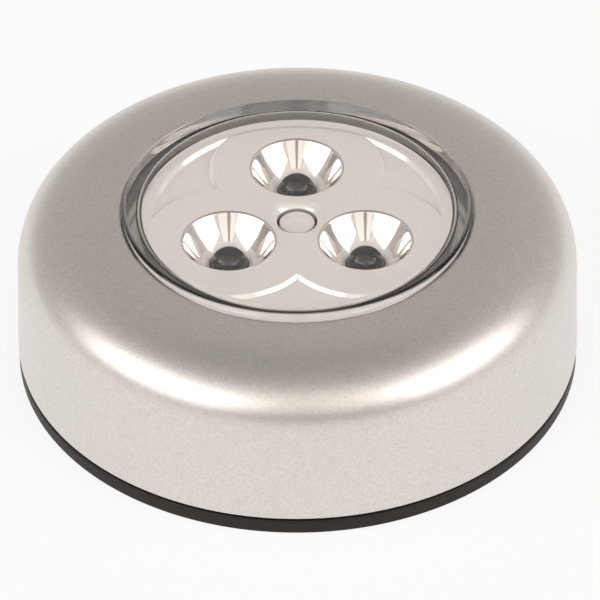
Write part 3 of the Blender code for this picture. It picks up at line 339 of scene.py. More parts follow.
def run_tree(name, mesh, kind, values):
    """Run a node tree on a mesh and give the result back as a plain mesh."""
    tree = bpy.data.node_groups.get(kind) or TREES[kind]()
    holder = link(name + "_holder", mesh)
    modifier = holder.modifiers.new("nodes", "NODES")
    modifier.node_group = tree
    for socket in tree.interface.items_tree:
        if socket.in_out == "INPUT" and socket.name in values:
            modifier[socket.identifier] = values[socket.name]
    graph = bpy.context.evaluated_depsgraph_get()
    result = bpy.data.meshes.new_from_object(holder.evaluated_get(graph))
    result.name = name
    holder.modifiers.clear()
    bpy.data.objects.remove(holder)
    if not result.polygons:
        raise RuntimeError("the node tree made no faces for " + name)
    result.materials.clear()
    result.materials.append(values["Finish"])
    result.polygons.foreach_set("material_index", [0] * len(result.polygons))
    return result


def turned(name, profile, segments, finish):
    """A turned mesh from a profile of radius and height, made by the lathe tree."""
    line = bpy.data.meshes.new(name + "_profile")
    line.from_pydata([(radius, 0.0, height) for radius, height in profile], [], [])
    mesh = run_tree(name, line, "lathe", {"Segments": segments, "Finish": finish})
    shape = bmesh.new()
    shape.from_mesh(mesh)
    bmesh.ops.recalc_face_normals(shape, faces=shape.faces)
    return as_mesh(shape, mesh)


def scattered(name, piece_mesh, places, finish):
    """Copies of a mesh at places, each a position and a turn, made by the scatter tree."""
    piece = link(name + "_source", piece_mesh)
    points = bpy.data.meshes.new(name + "_places")
    points.from_pydata([position for position, turn in places], [], [])
    turns = points.attributes.new("turn", "FLOAT_VECTOR", "POINT")
    for index, (position, turn) in enumerate(places):
        turns.data[index].vector = turn
    mesh = run_tree(name, points, "scatter", {"Piece": piece, "Finish": finish})
    bpy.data.objects.remove(piece)
    return mesh


def place_piece(name, mesh, body, replaced=None, crease=CREASE, wall=0.0):
    """Link a finished mesh, shade it, thicken it if it is a skin, hang it on the body it rides on, and hide
    the fixed piece it replaces.
    """
    mesh.shade_smooth()
    mesh.set_sharp_from_angle(angle=math.radians(crease))
    piece = link(name, mesh)
    if wall:
        skin = piece.modifiers.new("moulded_wall", "SOLIDIFY")
        skin.thickness = wall
        skin.offset = -1.0
        skin.use_even_offset = True
    piece.modifiers.new("even_normals", "WEIGHTED_NORMAL").keep_sharp = True
    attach(piece, body)
    if replaced:
        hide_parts(replaced)
    return piece


def band_points(radii, angles, levels, steps):
    """Sections of a piece of a ring, one at each angle: inner and outer radius, low and high."""
    sections = []
    for step in range(steps + 1):
        angle = angles[0] + (angles[1] - angles[0]) * step / steps
        corners = ((radii[0], levels[0]), (radii[1], levels[0]), (radii[1], levels[1]), (radii[0], levels[1]))
        sections.append([(*polar(radius, angle), level) for radius, level in corners])
    return sections


def closed_loops(shape, loops):
    """A closed form from loops of as many points each, with a face over each end."""
    rings = add_loops(shape, loops, 0)
    shape.faces.new(rings[0])
    shape.faces.new(rings[-1][::-1])


def joined(mesh, shape):
    """Add a bmesh's forms, turned the right way out, to a mesh that has its finish."""
    bmesh.ops.recalc_face_normals(shape, faces=shape.faces)
    shape.from_mesh(mesh)
    as_mesh(shape, mesh)


def cut(mesh, cutter_mesh):
    """A mesh less another one."""
    blank = link("blank", mesh)
    cutter = link("cutter", cutter_mesh)
    trim = blank.modifiers.new("trim", "BOOLEAN")
    trim.operation = "DIFFERENCE"
    trim.solver = "EXACT"
    trim.object = cutter
    graph = bpy.context.evaluated_depsgraph_get()
    result = bpy.data.meshes.new_from_object(blank.evaluated_get(graph))
    bpy.data.objects.remove(blank)
    bpy.data.objects.remove(cutter)
    return result


# Bayonet, shared by shell and cover

LUG_ANGLES = tuple(math.radians(angle) for angle in (30, 150, 270))
LUG_HALF_SWEEP = math.radians(8)
LUG_RADIUS = 32.3 * MM
LUG_LEVELS = (4.1 * MM, 4.8 * MM)
LEDGE_RADIUS = 31.7 * MM
LEDGE_LEVELS = (3.0 * MM, 3.8 * MM)
LEDGE_LEAD = math.radians(15)
STOP_LEVELS = (3.4 * MM, 4.9 * MM)
STOP_START = math.radians(8.6)
STOP_END = math.radians(11.6)
ROOT = 0.4 * MM


# Shell

BOSS_ANGLES = tuple(math.radians(angle) for angle in (90, 235, 305))
BOSS_CIRCLE = 27.5 * MM
BOSS_RADIUS = 2.4 * MM
BOSS_HOLE = 1.2 * MM
BOSS_HOLE_TOP = 16.9 * MM
BOSS_FOOT = 12.4 * MM
BOSS_ROOT = 0.8 * MM

SHELL_EDGE = 0.3 * MM
SHELL_WALL = 1.4 * MM
SHELL_DRAFT = 0.3 * MM
CROWN_WALL = 1.6 * MM
COLLAR_WALL = 1.0 * MM
COLLAR_DEPTH = 3.05 * MM
HOLE_ROUND = 0.3 * MM


def shell_profile(settings):
    """The shell's section: up the outside, over the crown, down the collar and back inside."""
    outer = settings.radius
    bottom = SHELL_LOW.z
    top = SHELL_HIGH.z
    hole = settings.hole_radius
    profile = arc((outer - SHELL_EDGE, bottom + SHELL_EDGE), SHELL_EDGE, -math.pi / 2, 0.0, ROUND_STEPS)
    profile += superellipse(outer - SHELL_DRAFT, settings.wall_top, hole + HOLE_ROUND, top,
                            settings.crown_exponent, settings.crown_steps)
    profile += arc((hole + HOLE_ROUND, top - HOLE_ROUND), HOLE_ROUND, math.pi / 2, math.pi, ROUND_STEPS)[1:]
    profile += [(hole, top - COLLAR_DEPTH), (hole + COLLAR_WALL, top - COLLAR_DEPTH)]
    lining = superellipse(outer - SHELL_WALL - SHELL_DRAFT, settings.wall_top, hole + COLLAR_WALL,
                          top - CROWN_WALL, settings.crown_exponent, settings.crown_steps // 2)
    profile += lining[::-1]
    profile.append((outer - SHELL_WALL, bottom))
    profile.append(profile[0])
    return profile


def crown_height(settings, radius):
    """Height of the crown's outside at a radius."""
    inner = settings.hole_radius + HOLE_ROUND
    share = max(0.0, (radius - inner) / (settings.radius - SHELL_DRAFT - inner))
    rise = (1 - share ** settings.crown_exponent) ** (1 / settings.crown_exponent)
    return settings.wall_top + (SHELL_HIGH.z - settings.wall_top) * rise


def shell_fittings(settings):
    """What stands inside the shell: screw bosses, bayonet ledges and their stops."""
    shape = bmesh.new()
    for angle in BOSS_ANGLES:
        place = polar(BOSS_CIRCLE, angle)
        outside = circle(place, BOSS_RADIUS, SMALL_STEPS)
        inside_wall = circle(place, BOSS_HOLE, SMALL_STEPS)
        loops = [[(x, y, crown_height(settings, math.hypot(x, y)) - BOSS_ROOT) for x, y in outside],
                 [(x, y, BOSS_FOOT) for x, y in outside],
                 [(x, y, BOSS_FOOT) for x, y in inside_wall],
                 [(x, y, BOSS_HOLE_TOP) for x, y in inside_wall]]
        closed_loops(shape, loops)
    bore = settings.radius - SHELL_WALL + ROOT
    for angle in LUG_ANGLES:
        ledge = (angle - LEDGE_LEAD, angle + STOP_END)
        closed_loops(shape, band_points((LEDGE_RADIUS, bore), ledge, LEDGE_LEVELS, BEND_STEPS))
        stop = (angle + STOP_START, angle + STOP_END)
        closed_loops(shape, band_points((LEDGE_RADIUS, bore), stop, STOP_LEVELS, ROUND_STEPS - 1))
    return shape


class ShellSettings(bpy.types.PropertyGroup):
    """Sizes and finish of the shell."""
    radius: measure("Radius", "Outer radius at the wall's foot", SHELL_HIGH.x)
    wall_top: measure("Wall top", "Height where the wall turns into the crown", 13.3 * MM)
    hole_radius: measure("Hole radius", "Radius of the hole for the lens", 21.24 * MM)
    crown_exponent: FloatProperty(
        name="Crown fullness", description="Exponent of the crown's superellipse", default=2.46, min=2.0)
    crown_steps: whole("Crown steps", "Points along the crown", 64)
    segments: whole("Segments", "Steps round the shell", 192)
    lacquer: paint("Lacquer", "Colour of the silver lacquer", "#DCD6D0")
    lacquer_roughness: fraction("Lacquer roughness", "How satin the lacquer is", 0.35)
    flake_size: measure("Flake size", "Grain of the flakes, coarser than life so that it shows", 0.17 * MM)


class PUCK_OT_shell(bpy.types.Operator):
    """Make the silver shell"""
    bl_idname = "puck.shell"
    bl_label = "Shell"

    def execute(self, context):
        settings = context.scene.puck_shell
        finish = silver_lacquer(settings)
        mesh = turned("shell", shell_profile(settings), settings.segments, finish)
        joined(mesh, shell_fittings(settings))
        place_piece("shell", mesh, "housing", "housing_shell")
        return {"FINISHED"}


# Lens

class LensSettings(bpy.types.PropertyGroup):
    """Sizes and finish of the clear lens."""
    radius: measure("Radius", "Radius of the lens's face", 20.9 * MM)
    panel: measure("Panel", "Thickness of the face", 1.0 * MM)
    wall: measure("Wall", "Thickness of the rim's wall", 1.6 * MM)
    fillet: measure("Fillet", "Fillet between the face's underside and the wall", 0.8 * MM)
    edge: measure("Edge round", "Round of the face's outer edge", 0.5 * MM)
    flange: measure("Flange", "Thickness of the retaining flange", 1.0 * MM)
    segments: whole("Segments", "Steps round the lens", 192)
    tint: paint("Tint", "Colour of the acrylic", "#FCFBF9")


def lens_profile(settings):
    """The lens's section from its centre out, down the rim, round the flange and back under the face."""
    top = LENS_HIGH.z
    radius = settings.radius
    underside = top - settings.panel
    flange_top = LENS_LOW.z + settings.flange
    bore = radius - settings.wall
    profile = [(0.0, top)]
    edge = settings.edge
    profile += arc((radius - edge, top - edge), edge, math.pi / 2, 0.0, ROUND_STEPS)
    profile += [(radius, flange_top), (LENS_HIGH.x, flange_top), (LENS_HIGH.x, LENS_LOW.z)]
    profile += [(bore, LENS_LOW.z)]
    fillet = settings.fillet
    profile += arc((bore - fillet, underside - fillet), fillet, 0.0, math.pi / 2, 2 * ROUND_STEPS)
    profile.append((0.0, underside))
    return profile


class PUCK_OT_lens(bpy.types.Operator):
    """Make the clear lens with its rim and flange"""
    bl_idname = "puck.lens"
    bl_label = "Lens"

    def execute(self, context):
        settings = context.scene.puck_lens
        mesh = turned("lens", lens_profile(settings), settings.segments, clear_acrylic(settings))
        lens = place_piece("lens", mesh, "button", "lens_button")
        lens.visible_shadow = False  # Clear acrylic lets the lamps' light through to the reflector
        return {"FINISHED"}


# Reflector

CUP_RING_STEPS = 64
CUP_WALL_STEPS = 14
POCKET_ARC_STEPS = 28
PLATE_STEPS = 192
EDGE_STEPS = 4
CUP_EDGE_STEPS = 10
CUP_FOOT_STEPS = 4


class ReflectorSettings(bpy.types.PropertyGroup):
    """Sizes and finish of the plated reflector."""
    plate_radius: measure("Plate radius", "Radius of the plate and its skirt", 18.9 * MM)
    apron_top: measure("Apron top", "Height of the ring under the lens's flange", 16.2 * MM)
    apron_thickness: measure("Apron thickness", "Thickness of that ring", 0.6 * MM)
    cup_circle: measure("Cup circle", "Radius of the circle of the cups' middles", 9.4 * MM)
    cup_radius: measure("Cup radius", "Radius of a cup's rim", 5.40 * MM)
    cup_hole: measure("Cup hole", "Radius of the hole for the diode", 2.42 * MM)
    cup_depth: measure("Cup depth", "Depth of the curved wall", 3.5 * MM)
    cup_lip: measure("Cup lip", "Straight lip under the curved wall", 0.7 * MM)
    dish_radius: measure("Dish radius", "Radius of the centre dish", 3.3 * MM)
    dish_depth: measure("Dish depth", "Depth of the centre dish", 0.8 * MM)
    post_hole: measure("Post hole", "Radius of the hole for the plunger's head", 2.45 * MM)
    lobe_radius: measure("Lobe radius", "Radius of a raised lobe round a cup", 10.25 * MM)
    pocket_radius: measure("Field radius", "Outer radius of the sunk fields", 17.4 * MM)
    pocket_depth: measure("Field depth", "Depth of the sunk fields", 0.45 * MM)
    pocket_lean: measure("Field lean", "How far the fields' walls lean in", 0.32 * MM)
    edge: measure("Edge round", "Round of the moulded edges", 0.12 * MM)
    cup_edge: measure("Cup edge", "Round of the cups' rims", 0.4 * MM)
    wall: measure("Wall", "Thickness of the moulding", 0.8 * MM)
    plating: paint("Plating", "Colour of the plating", "#F8F2EE")
    satin_metal: fraction("Satin mirror share", "Share of the light that the plate mirrors, not scatters",
                          0.42)
    satin_roughness: fraction("Satin roughness", "Roughness of the plate", 0.10)
    mirror_roughness: fraction("Mirror roughness", "Roughness of the cups", 0.03)


def lobe_arc(cup, radius, start, end):
    """Points along a lobe's edge from one place to another, the short way round."""
    first = math.atan2(start[1] - cup[1], start[0] - cup[0])
    sweep = math.atan2(end[1] - cup[1], end[0] - cup[0]) - first
    sweep = (sweep + math.pi) % FULL_TURN - math.pi
    return arc(cup, radius, first, first + sweep, POCKET_ARC_STEPS)


def pocket_outline(settings, middle, shrink):
    """The outline of a sunk field about a middle angle, drawn in by a distance."""
    lobe = settings.lobe_radius + shrink
    outer = settings.pocket_radius - shrink
    cups = settings.cup_circle
    half = math.pi / len(THIRDS)
    right_cup = polar(cups, middle - half)
    left_cup = polar(cups, middle + half)
    cusp = polar(cups * math.cos(half) + math.sqrt(lobe ** 2 - (cups * math.sin(half)) ** 2), middle)
    reach = math.acos((cups ** 2 + outer ** 2 - lobe ** 2) / (2 * cups * outer))
    right_angle = middle - half + reach
    left_angle = middle + half - reach
    outline = lobe_arc(right_cup, lobe, cusp, polar(outer, right_angle))
    outline += arc((0.0, 0.0), outer, right_angle, left_angle, 2 * POCKET_ARC_STEPS)[1:-1]
    outline += lobe_arc(left_cup, lobe, polar(outer, left_angle), cusp)[:-1]
    return outline


def edge_round(radius, slope, count):
    """Steps over a rounded edge from a flat face to a wall of some slope, as distance in and depth."""
    steps = []
    for step in range(count + 1):
        angle = slope * step / count
        steps.append((radius * math.sin(angle), radius * (1 - math.cos(angle))))
    return steps


def add_loops(shape, loops, mirror):
    """Join loops of as many points each with quads, and give back the first loop's vertices."""
    rings = []
    for loop in loops:
        rings.append([shape.verts.new(point) for point in loop])
    for outer, inner in zip(rings, rings[1:]):
        for index, vert in enumerate(outer):
            follower = (index + 1) % len(outer)
            face = shape.faces.new((vert, outer[follower], inner[follower], inner[index]))
            face.material_index = mirror
    return rings


def cup_loops(settings, angle, top):
    """A cup's rings from just outside its rim, over the rim, down the paraboloid to the lip."""
    middle = polar(settings.cup_circle, angle)
    squares = settings.cup_radius ** 2 - settings.cup_hole ** 2
    slope = math.atan(2 * settings.cup_radius * settings.cup_depth / squares)
    rings = []
    for inward, depth in edge_round(settings.cup_edge, slope, CUP_EDGE_STEPS):
        rings.append((settings.cup_radius + settings.cup_edge * math.sin(slope) - inward, depth))
    start = rings[-1][1]
    for step in range(1, CUP_WALL_STEPS + 1):
        share = 1 - step / CUP_WALL_STEPS
        radius = math.sqrt(settings.cup_hole ** 2 + squares * share)
        rings.append((radius, start + (settings.cup_depth - start) * (1 - share)))
    rings.append((settings.cup_hole, settings.cup_depth + settings.cup_lip))
    loops = []
    for radius, depth in rings:
        loops.append([(x, y, top - depth) for x, y in circle(middle, radius, CUP_RING_STEPS)])
    return loops


def pocket_loops(settings, middle, top):
    """A sunk field's loops from just outside its edge, down the leaning wall to the floor."""
    slope = math.atan2(settings.pocket_depth, settings.pocket_lean)
    over = edge_round(settings.edge, slope, EDGE_STEPS)
    steps = [(inward - over[-1][0], depth) for inward, depth in over]
    foot = [(settings.pocket_lean + over[-1][0] - inward, settings.pocket_depth - depth)
            for inward, depth in reversed(over)]
    loops = []
    for inward, depth in steps + foot:
        loops.append([(x, y, top - depth) for x, y in pocket_outline(settings, middle, inward)])
    return loops


def ring_loops(rings, top, steps):
    """Loops round the axis from radii and depths."""
    return [[(x, y, top - depth) for x, y in circle((0.0, 0.0), radius, steps)] for radius, depth in rings]


def fill_land(shape, outside, holes, top):
    """Fill the flat face between the outer loop and the holes with a constrained triangulation."""
    points = []
    edges = []
    for loop in [outside] + holes:
        first = len(points)
        points += [Vector(point[:2]) for point in loop]
        count = len(loop)
        edges += [(first + index, first + (index + 1) % count) for index in range(count)]
    flat, _, triangles, _, _, _ = delaunay_2d_cdt(points, edges, [], 1, WELD)
    corners = [shape.verts.new((point.x, point.y, top)) for point in flat]
    for triangle in triangles:
        middle = sum((flat[index] for index in triangle), Vector((0.0, 0.0))) / 3
        if not any(inside(middle, hole) for hole in holes):
            face = shape.faces.new([corners[index] for index in triangle])
            face.material_index = 0
            face.normal_update()
            if face.normal.z < 0:
                face.normal_flip()


def inside(point, loop):
    """Whether a flat point lies inside a closed loop, by counting crossings."""
    odd = False
    for (x0, y0, *_), (x1, y1, *_) in zip(loop, loop[1:] + loop[:1]):
        if (y0 > point.y) != (y1 > point.y):
            if point.x < (x1 - x0) * (point.y - y0) / (y1 - y0) + x0:
                odd = not odd
    return odd


def reflector_mesh(settings):
    """The plated moulding: plate, cups, sunk fields, dish and skirt, before it gets its wall."""
    top = REFLECTOR_HIGH.z
    radius = settings.plate_radius
    shape = bmesh.new()
    holes = []
    for angle in THIRDS:
        loops = cup_loops(settings, angle, top)
        foot = len(loops) - CUP_FOOT_STEPS
        add_loops(shape, loops[:foot], 1)
        add_loops(shape, loops[foot - 1:], 0)
        holes.append(loops[0])
    for angle in THIRDS:
        loops = pocket_loops(settings, angle + math.pi, top)
        rings = add_loops(shape, loops, 0)
        holes.append(loops[0])
        shape.faces.new(rings[-1])
    dish = [(settings.dish_radius + settings.edge, 0.0), (settings.dish_radius, settings.edge / 3)]
    dish += [(settings.post_hole + settings.edge, settings.dish_depth - settings.edge)]
    dish += [(settings.post_hole, settings.dish_depth)]
    dish += [(settings.post_hole, settings.dish_depth + settings.wall)]
    loops = ring_loops(dish, top, CUP_RING_STEPS)
    add_loops(shape, loops, 0)
    holes.append(loops[0])
    rim = [(radius - settings.edge + inward, depth)
           for inward, depth in edge_round(settings.edge, math.pi / 2, EDGE_STEPS)]
    rim.append((radius, top - BOARD_SEAT))
    loops = ring_loops(rim, top, PLATE_STEPS)
    add_loops(shape, loops, 0)
    fill_land(shape, loops[0], holes, top)
    bmesh.ops.remove_doubles(shape, verts=shape.verts, dist=WELD)
    floors = [face for face in shape.faces if len(face.verts) > 4]
    bmesh.ops.triangulate(shape, faces=floors)
    bmesh.ops.recalc_face_normals(shape, faces=shape.faces)
    highest = max(shape.faces, key=lambda face: face.calc_center_median().z * abs(face.normal.z))
    if highest.normal.z < 0:
        bmesh.ops.reverse_faces(shape, faces=shape.faces)
    return as_mesh(shape, bpy.data.meshes.new("reflector_plate"))


PEG_RADIUS = 0.7 * MM
PEG_TIP_RADIUS = 0.56 * MM
PEG_TIP = 0.21 * MM


class PUCK_OT_reflector(bpy.types.Operator):
    """Make the plated reflector with its cups and sunk fields"""
    bl_idname = "puck.reflector"
    bl_label = "Reflector"

    def execute(self, context):
        settings = context.scene.puck_reflector
        satin = plated_satin(settings)
        mesh = reflector_mesh(settings)
        mesh.materials.append(satin)
        mesh.materials.append(plated_mirror(settings))
        place_piece("reflector_plate", mesh, "housing", "reflector", wall=settings.wall)

        bottom = REFLECTOR_LOW.z
        profile = [(0.0, bottom), (PEG_TIP_RADIUS, bottom), (PEG_RADIUS, bottom + PEG_TIP)]
        profile += [(PEG_RADIUS, BOARD_SEAT + settings.wall), (0.0, BOARD_SEAT + settings.wall)]
        peg = turned("peg", profile, SMALL_STEPS, satin)
        inner = settings.plate_radius - settings.wall / 2
        places = [((*polar(inner, angle + math.pi), 0.0), (0.0, 0.0, 0.0)) for angle in THIRDS]
        pegs = scattered("reflector_pegs", peg, places, satin)
        place_piece("reflector_pegs", pegs, "housing")

        low = settings.apron_top - settings.apron_thickness
        outer = REFLECTOR_HIGH.x
        profile = [(inner, low), (outer, low), (outer, settings.apron_top), (inner, settings.apron_top)]
        profile.append(profile[0])
        apron = turned("reflector_apron", profile, PLATE_STEPS, satin)
        place_piece("reflector_apron", apron, "housing")
        return {"FINISHED"}


# Diodes

class DiodeSettings(bpy.types.PropertyGroup):
    """Sizes and finish of the three diodes."""
    radius: measure("Dome radius", "Radius of the domed body", 2.3 * MM)
    flange_radius: measure("Flange radius", "Radius of the foot flange", LED_HIGH.x)
    flange: measure("Flange", "Height of the foot flange", 0.8 * MM)
    circle: measure("Circle", "Radius of the circle of the diodes' middles", 9.4 * MM)
    epoxy: paint("Epoxy", "Tint of the epoxy", "#5E5855")


FRAME_STRIP = 0.22 * MM
FRAME_SPREAD = 1.27 * MM
LEG_END = 12.35 * MM
# Side, width and drop under the dome of the two heads: the anvil and the post
FRAME_HEADS = ((-1, 0.95 * MM, 0.0), (1, 0.45 * MM, 0.15 * MM))


def add_block(shape, low, high):
    """A closed block between two corners."""
    made = bmesh.ops.create_cube(shape, size=1.0)["verts"]
    size = Vector(high) - Vector(low)
    middle = (Vector(high) + Vector(low)) / 2
    bmesh.ops.scale(shape, vec=size, verts=made)
    bmesh.ops.translate(shape, vec=middle, verts=made)


def diode_body(settings):
    """A diode's section: flange, barrel and dome."""
    top = LED_HIGH.z
    middle = top - settings.radius
    seat = BOARD_SEAT
    profile = [(0.0, seat), (settings.flange_radius, seat), (settings.flange_radius, seat + settings.flange)]
    profile.append((settings.radius, seat + settings.flange))
    profile += arc((0.0, middle), settings.radius, 0.0, math.pi / 2, BEND_STEPS)
    return profile


def lead_frame_mesh(settings):
    """The metal in a diode: an anvil with a small cup, a post, and two legs through the board."""
    shape = bmesh.new()
    for side, head_width, drop in FRAME_HEADS:
        head_top = LED_HIGH.z - settings.radius - drop
        x = side * FRAME_SPREAD
        add_block(shape, (x - FRAME_STRIP, -FRAME_STRIP, LEG_END),
                  (x + FRAME_STRIP, FRAME_STRIP, BOARD_SEAT + settings.flange))
        inner = x - side * head_width
        left, right = sorted((inner, x + side * FRAME_STRIP))
        add_block(shape, (left, -FRAME_STRIP, BOARD_SEAT + settings.flange), (right, FRAME_STRIP, head_top))
    return as_mesh(shape, bpy.data.meshes.new("lead_frame"))


class PUCK_OT_diodes(bpy.types.Operator):
    """Make the three diodes and the metal inside them"""
    bl_idname = "puck.diodes"
    bl_label = "Diodes"

    def execute(self, context):
        settings = context.scene.puck_diodes
        epoxy = diode_epoxy(settings)
        steel = plain_finish("tinned_steel", "#B9B6B0", 0.28, 1.0, 0.4 * MM, 0.004 * MM, 0.1)
        body = turned("diode_body", diode_body(settings), TURN_STEPS, epoxy)
        places = [((*polar(settings.circle, angle), 0.0), (0.0, 0.0, 0.0)) for angle in THIRDS]
        for name, spot in zip(LED_NAMES, places):
            mesh = scattered(name + "_body", body, [spot], epoxy)
            piece = place_piece(name + "_body", mesh, "housing", name)
            piece.visible_shadow = False  # Clear epoxy, as the lens
        frames = scattered("diode_lead_frames", lead_frame_mesh(settings), places, steel)
        place_piece("diode_lead_frames", frames, "housing")
        return {"FINISHED"}


# Switch plunger, whose plated head shows through the lens

DOME_STEPS = 12
DOME_SLOPE = 0.3  # Faces of the dome look up at least this much
FOOT_RADIUS = 1.9 * MM


class PlungerSettings(bpy.types.PropertyGroup):
    """Sizes and finish of the switch's plunger."""
    head_radius: measure("Head radius", "Radius of the plated head", 2.1 * MM)
    head: measure("Head", "Height of the head's straight side", 0.5 * MM)
    dome: measure("Dome", "Rise of the head's plated dome", 0.7 * MM)
    cap: measure("Cap", "Plastic left over the bore", 0.6 * MM)
    stem_radius: measure("Stem radius", "Radius of the stem", 1.5 * MM)
    bore: measure("Bore", "Radius of the bore for the spring", 1.05 * MM)
    foot: measure("Foot", "Height of the foot held in the switch", 0.5 * MM)
    acetal: paint("Acetal", "Colour of the white plastic", "#E6E3DB")


def plunger_profile(settings):
    """The plunger's section: bore, foot, stem and domed head."""
    low = PLUNGER_LOW.z
    top = PLUNGER_HIGH.z
    roof = top - settings.cap
    head = settings.head_radius
    shoulder = top - settings.dome
    ball = (head ** 2 + settings.dome ** 2) / (2 * settings.dome)
    profile = [(0.0, roof), (settings.bore, roof), (settings.bore, low), (FOOT_RADIUS, low)]
    profile += [(FOOT_RADIUS, low + settings.foot), (settings.stem_radius, low + settings.foot)]
    profile += [(settings.stem_radius, shoulder - settings.head), (head, shoulder - settings.head)]
    profile += arc((0.0, top - ball), ball, math.acos(head / ball), math.pi / 2, DOME_STEPS)
    return profile


class PUCK_OT_plunger(bpy.types.Operator):
    """Make the switch's plunger"""
    bl_idname = "puck.plunger"
    bl_label = "Plunger"

    def execute(self, context):
        settings = context.scene.puck_plunger
        mesh = turned("plunger", plunger_profile(settings), TURN_STEPS, white_acetal(settings))
        plating = bpy.data.materials.get("plated_satin_polystyrene")
        mesh.materials.append(plating or plated_satin(context.scene.puck_reflector))
        shoulder = PLUNGER_HIGH.z - settings.dome
        for face in mesh.polygons:
            if face.center.z > shoulder and face.normal.z > DOME_SLOPE:
                face.material_index = 1
        place_piece("plunger", mesh, "plunger", "switch_plunger")
        return {"FINISHED"}


# Switch spring

COIL_POINTS = 24


class SpringSettings(bpy.types.PropertyGroup):
    """Sizes of the wound spring under the plunger."""
    radius: measure("Radius", "Radius of the turns, to the wire's middle", 0.68 * MM)
    wire: measure("Wire", "Radius of the wire", 0.12 * MM)
    turns: whole("Turns", "Number of turns", 4, least=1)
    travel: measure("Travel", "How much the press shortens it", 1.0 * MM)


class PUCK_OT_spring(bpy.types.Operator):
    """Make the spring that lifts the plunger"""
    bl_idname = "puck.spring"
    bl_label = "Switch spring"

    def execute(self, context):
        settings = context.scene.puck_spring
        low = COIL_LOW.z + settings.wire
        rise = COIL_HIGH.z - settings.wire - low
        count = settings.turns * COIL_POINTS
        points = [(*polar(settings.radius, FULL_TURN * step / COIL_POINTS), low + rise * step / count)
                  for step in range(count + 1)]
        path = bpy.data.meshes.new("spring_path")
        path.from_pydata(points, [(step, step + 1) for step in range(count)], [])
        steel = plain_finish("music_wire", "#B5B4B2", 0.3, 1.0, 0.3 * MM, 0.003 * MM, 0.1)
        mesh = run_tree("switch_coil", path, "wire", {"Wire Radius": settings.wire, "Finish": steel})
        coil = place_piece("switch_coil", mesh, "housing", "switch_spring", crease=60)
        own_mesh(coil)
        return {"FINISHED"}


# Back cover

RECESS_PLACE = 19.0 * MM
RECESS_HALF_WIDTH = 3.2 * MM
RECESS_HALF_LENGTH = 7.0 * MM
RECESS_DEPTH = 0.6 * MM
CUTTER_OVERRUN = 1.0 * MM


class CoverSettings(bpy.types.PropertyGroup):
    """Sizes and finish of the black cover."""
    radius: measure("Radius", "Outer radius", 33.95 * MM)
    band: measure("Band", "Height of the band that shows", 1.9 * MM)
    floor: measure("Floor", "Thickness of the floor", 1.3 * MM)
    edge: measure("Edge round", "Round of the bottom edge", 0.3 * MM)
    plug_radius: measure("Ring radius", "Outer radius of the ring inside the shell", 31.4 * MM)
    plug_wall: measure("Ring wall", "Thickness of that ring", 0.9 * MM)
    segments: whole("Segments", "Steps round the cover", 192)
    plastic: paint("Plastic", "Colour of the black plastic", "#211B17")


def cover_profile(settings):
    """The cover's section: floor, rounded edge, band and inner ring."""
    top = COVER_HIGH.z
    outer = settings.radius
    edge = settings.edge
    profile = [(0.0, 0.0)]
    profile += arc((outer - edge, edge), edge, -math.pi / 2, 0.0, ROUND_STEPS)
    profile += arc((outer - edge, settings.band - edge), edge, 0.0, math.pi / 2, ROUND_STEPS)
    profile += [(settings.plug_radius, settings.band), (settings.plug_radius, top)]
    profile += [(settings.plug_radius - settings.plug_wall, top)]
    profile += [(settings.plug_radius - settings.plug_wall, settings.floor), (0.0, settings.floor)]
    return profile


def cover_lugs(settings):
    """The bayonet's three lugs on the cover's ring."""
    shape = bmesh.new()
    for angle in LUG_ANGLES:
        sweep = (angle - LUG_HALF_SWEEP, angle + LUG_HALF_SWEEP)
        radii = (settings.plug_radius - ROOT, LUG_RADIUS)
        closed_loops(shape, band_points(radii, sweep, LUG_LEVELS, SMALL_STEPS // 2))
    return shape


def thumb_recesses():
    """The two long hollows in the underside that give the thumbs a grip."""
    shape = bmesh.new()
    straight = RECESS_HALF_LENGTH - RECESS_HALF_WIDTH
    for x in (-RECESS_PLACE, RECESS_PLACE):
        outline = arc((x, straight), RECESS_HALF_WIDTH, 0.0, math.pi, BEND_STEPS)
        outline += arc((x, -straight), RECESS_HALF_WIDTH, math.pi, FULL_TURN, BEND_STEPS)
        levels = (-CUTTER_OVERRUN, RECESS_DEPTH)
        closed_loops(shape, [[(px, py, level) for px, py in outline] for level in levels])
    bmesh.ops.recalc_face_normals(shape, faces=shape.faces)
    return as_mesh(shape, bpy.data.meshes.new("thumb_recesses"))


class PUCK_OT_cover(bpy.types.Operator):
    """Make the black back cover"""
    bl_idname = "puck.cover"
    bl_label = "Back cover"

    def execute(self, context):
        settings = context.scene.puck_cover
        mesh = turned("cover", cover_profile(settings), settings.segments, cover_abs(settings))
        mesh = cut(mesh, thumb_recesses())
        joined(mesh, cover_lugs(settings))
        place_piece("cover", mesh, "cover", "back_cover")
        return {"FINISHED"}


# Inner pieces that keep their fixed shape

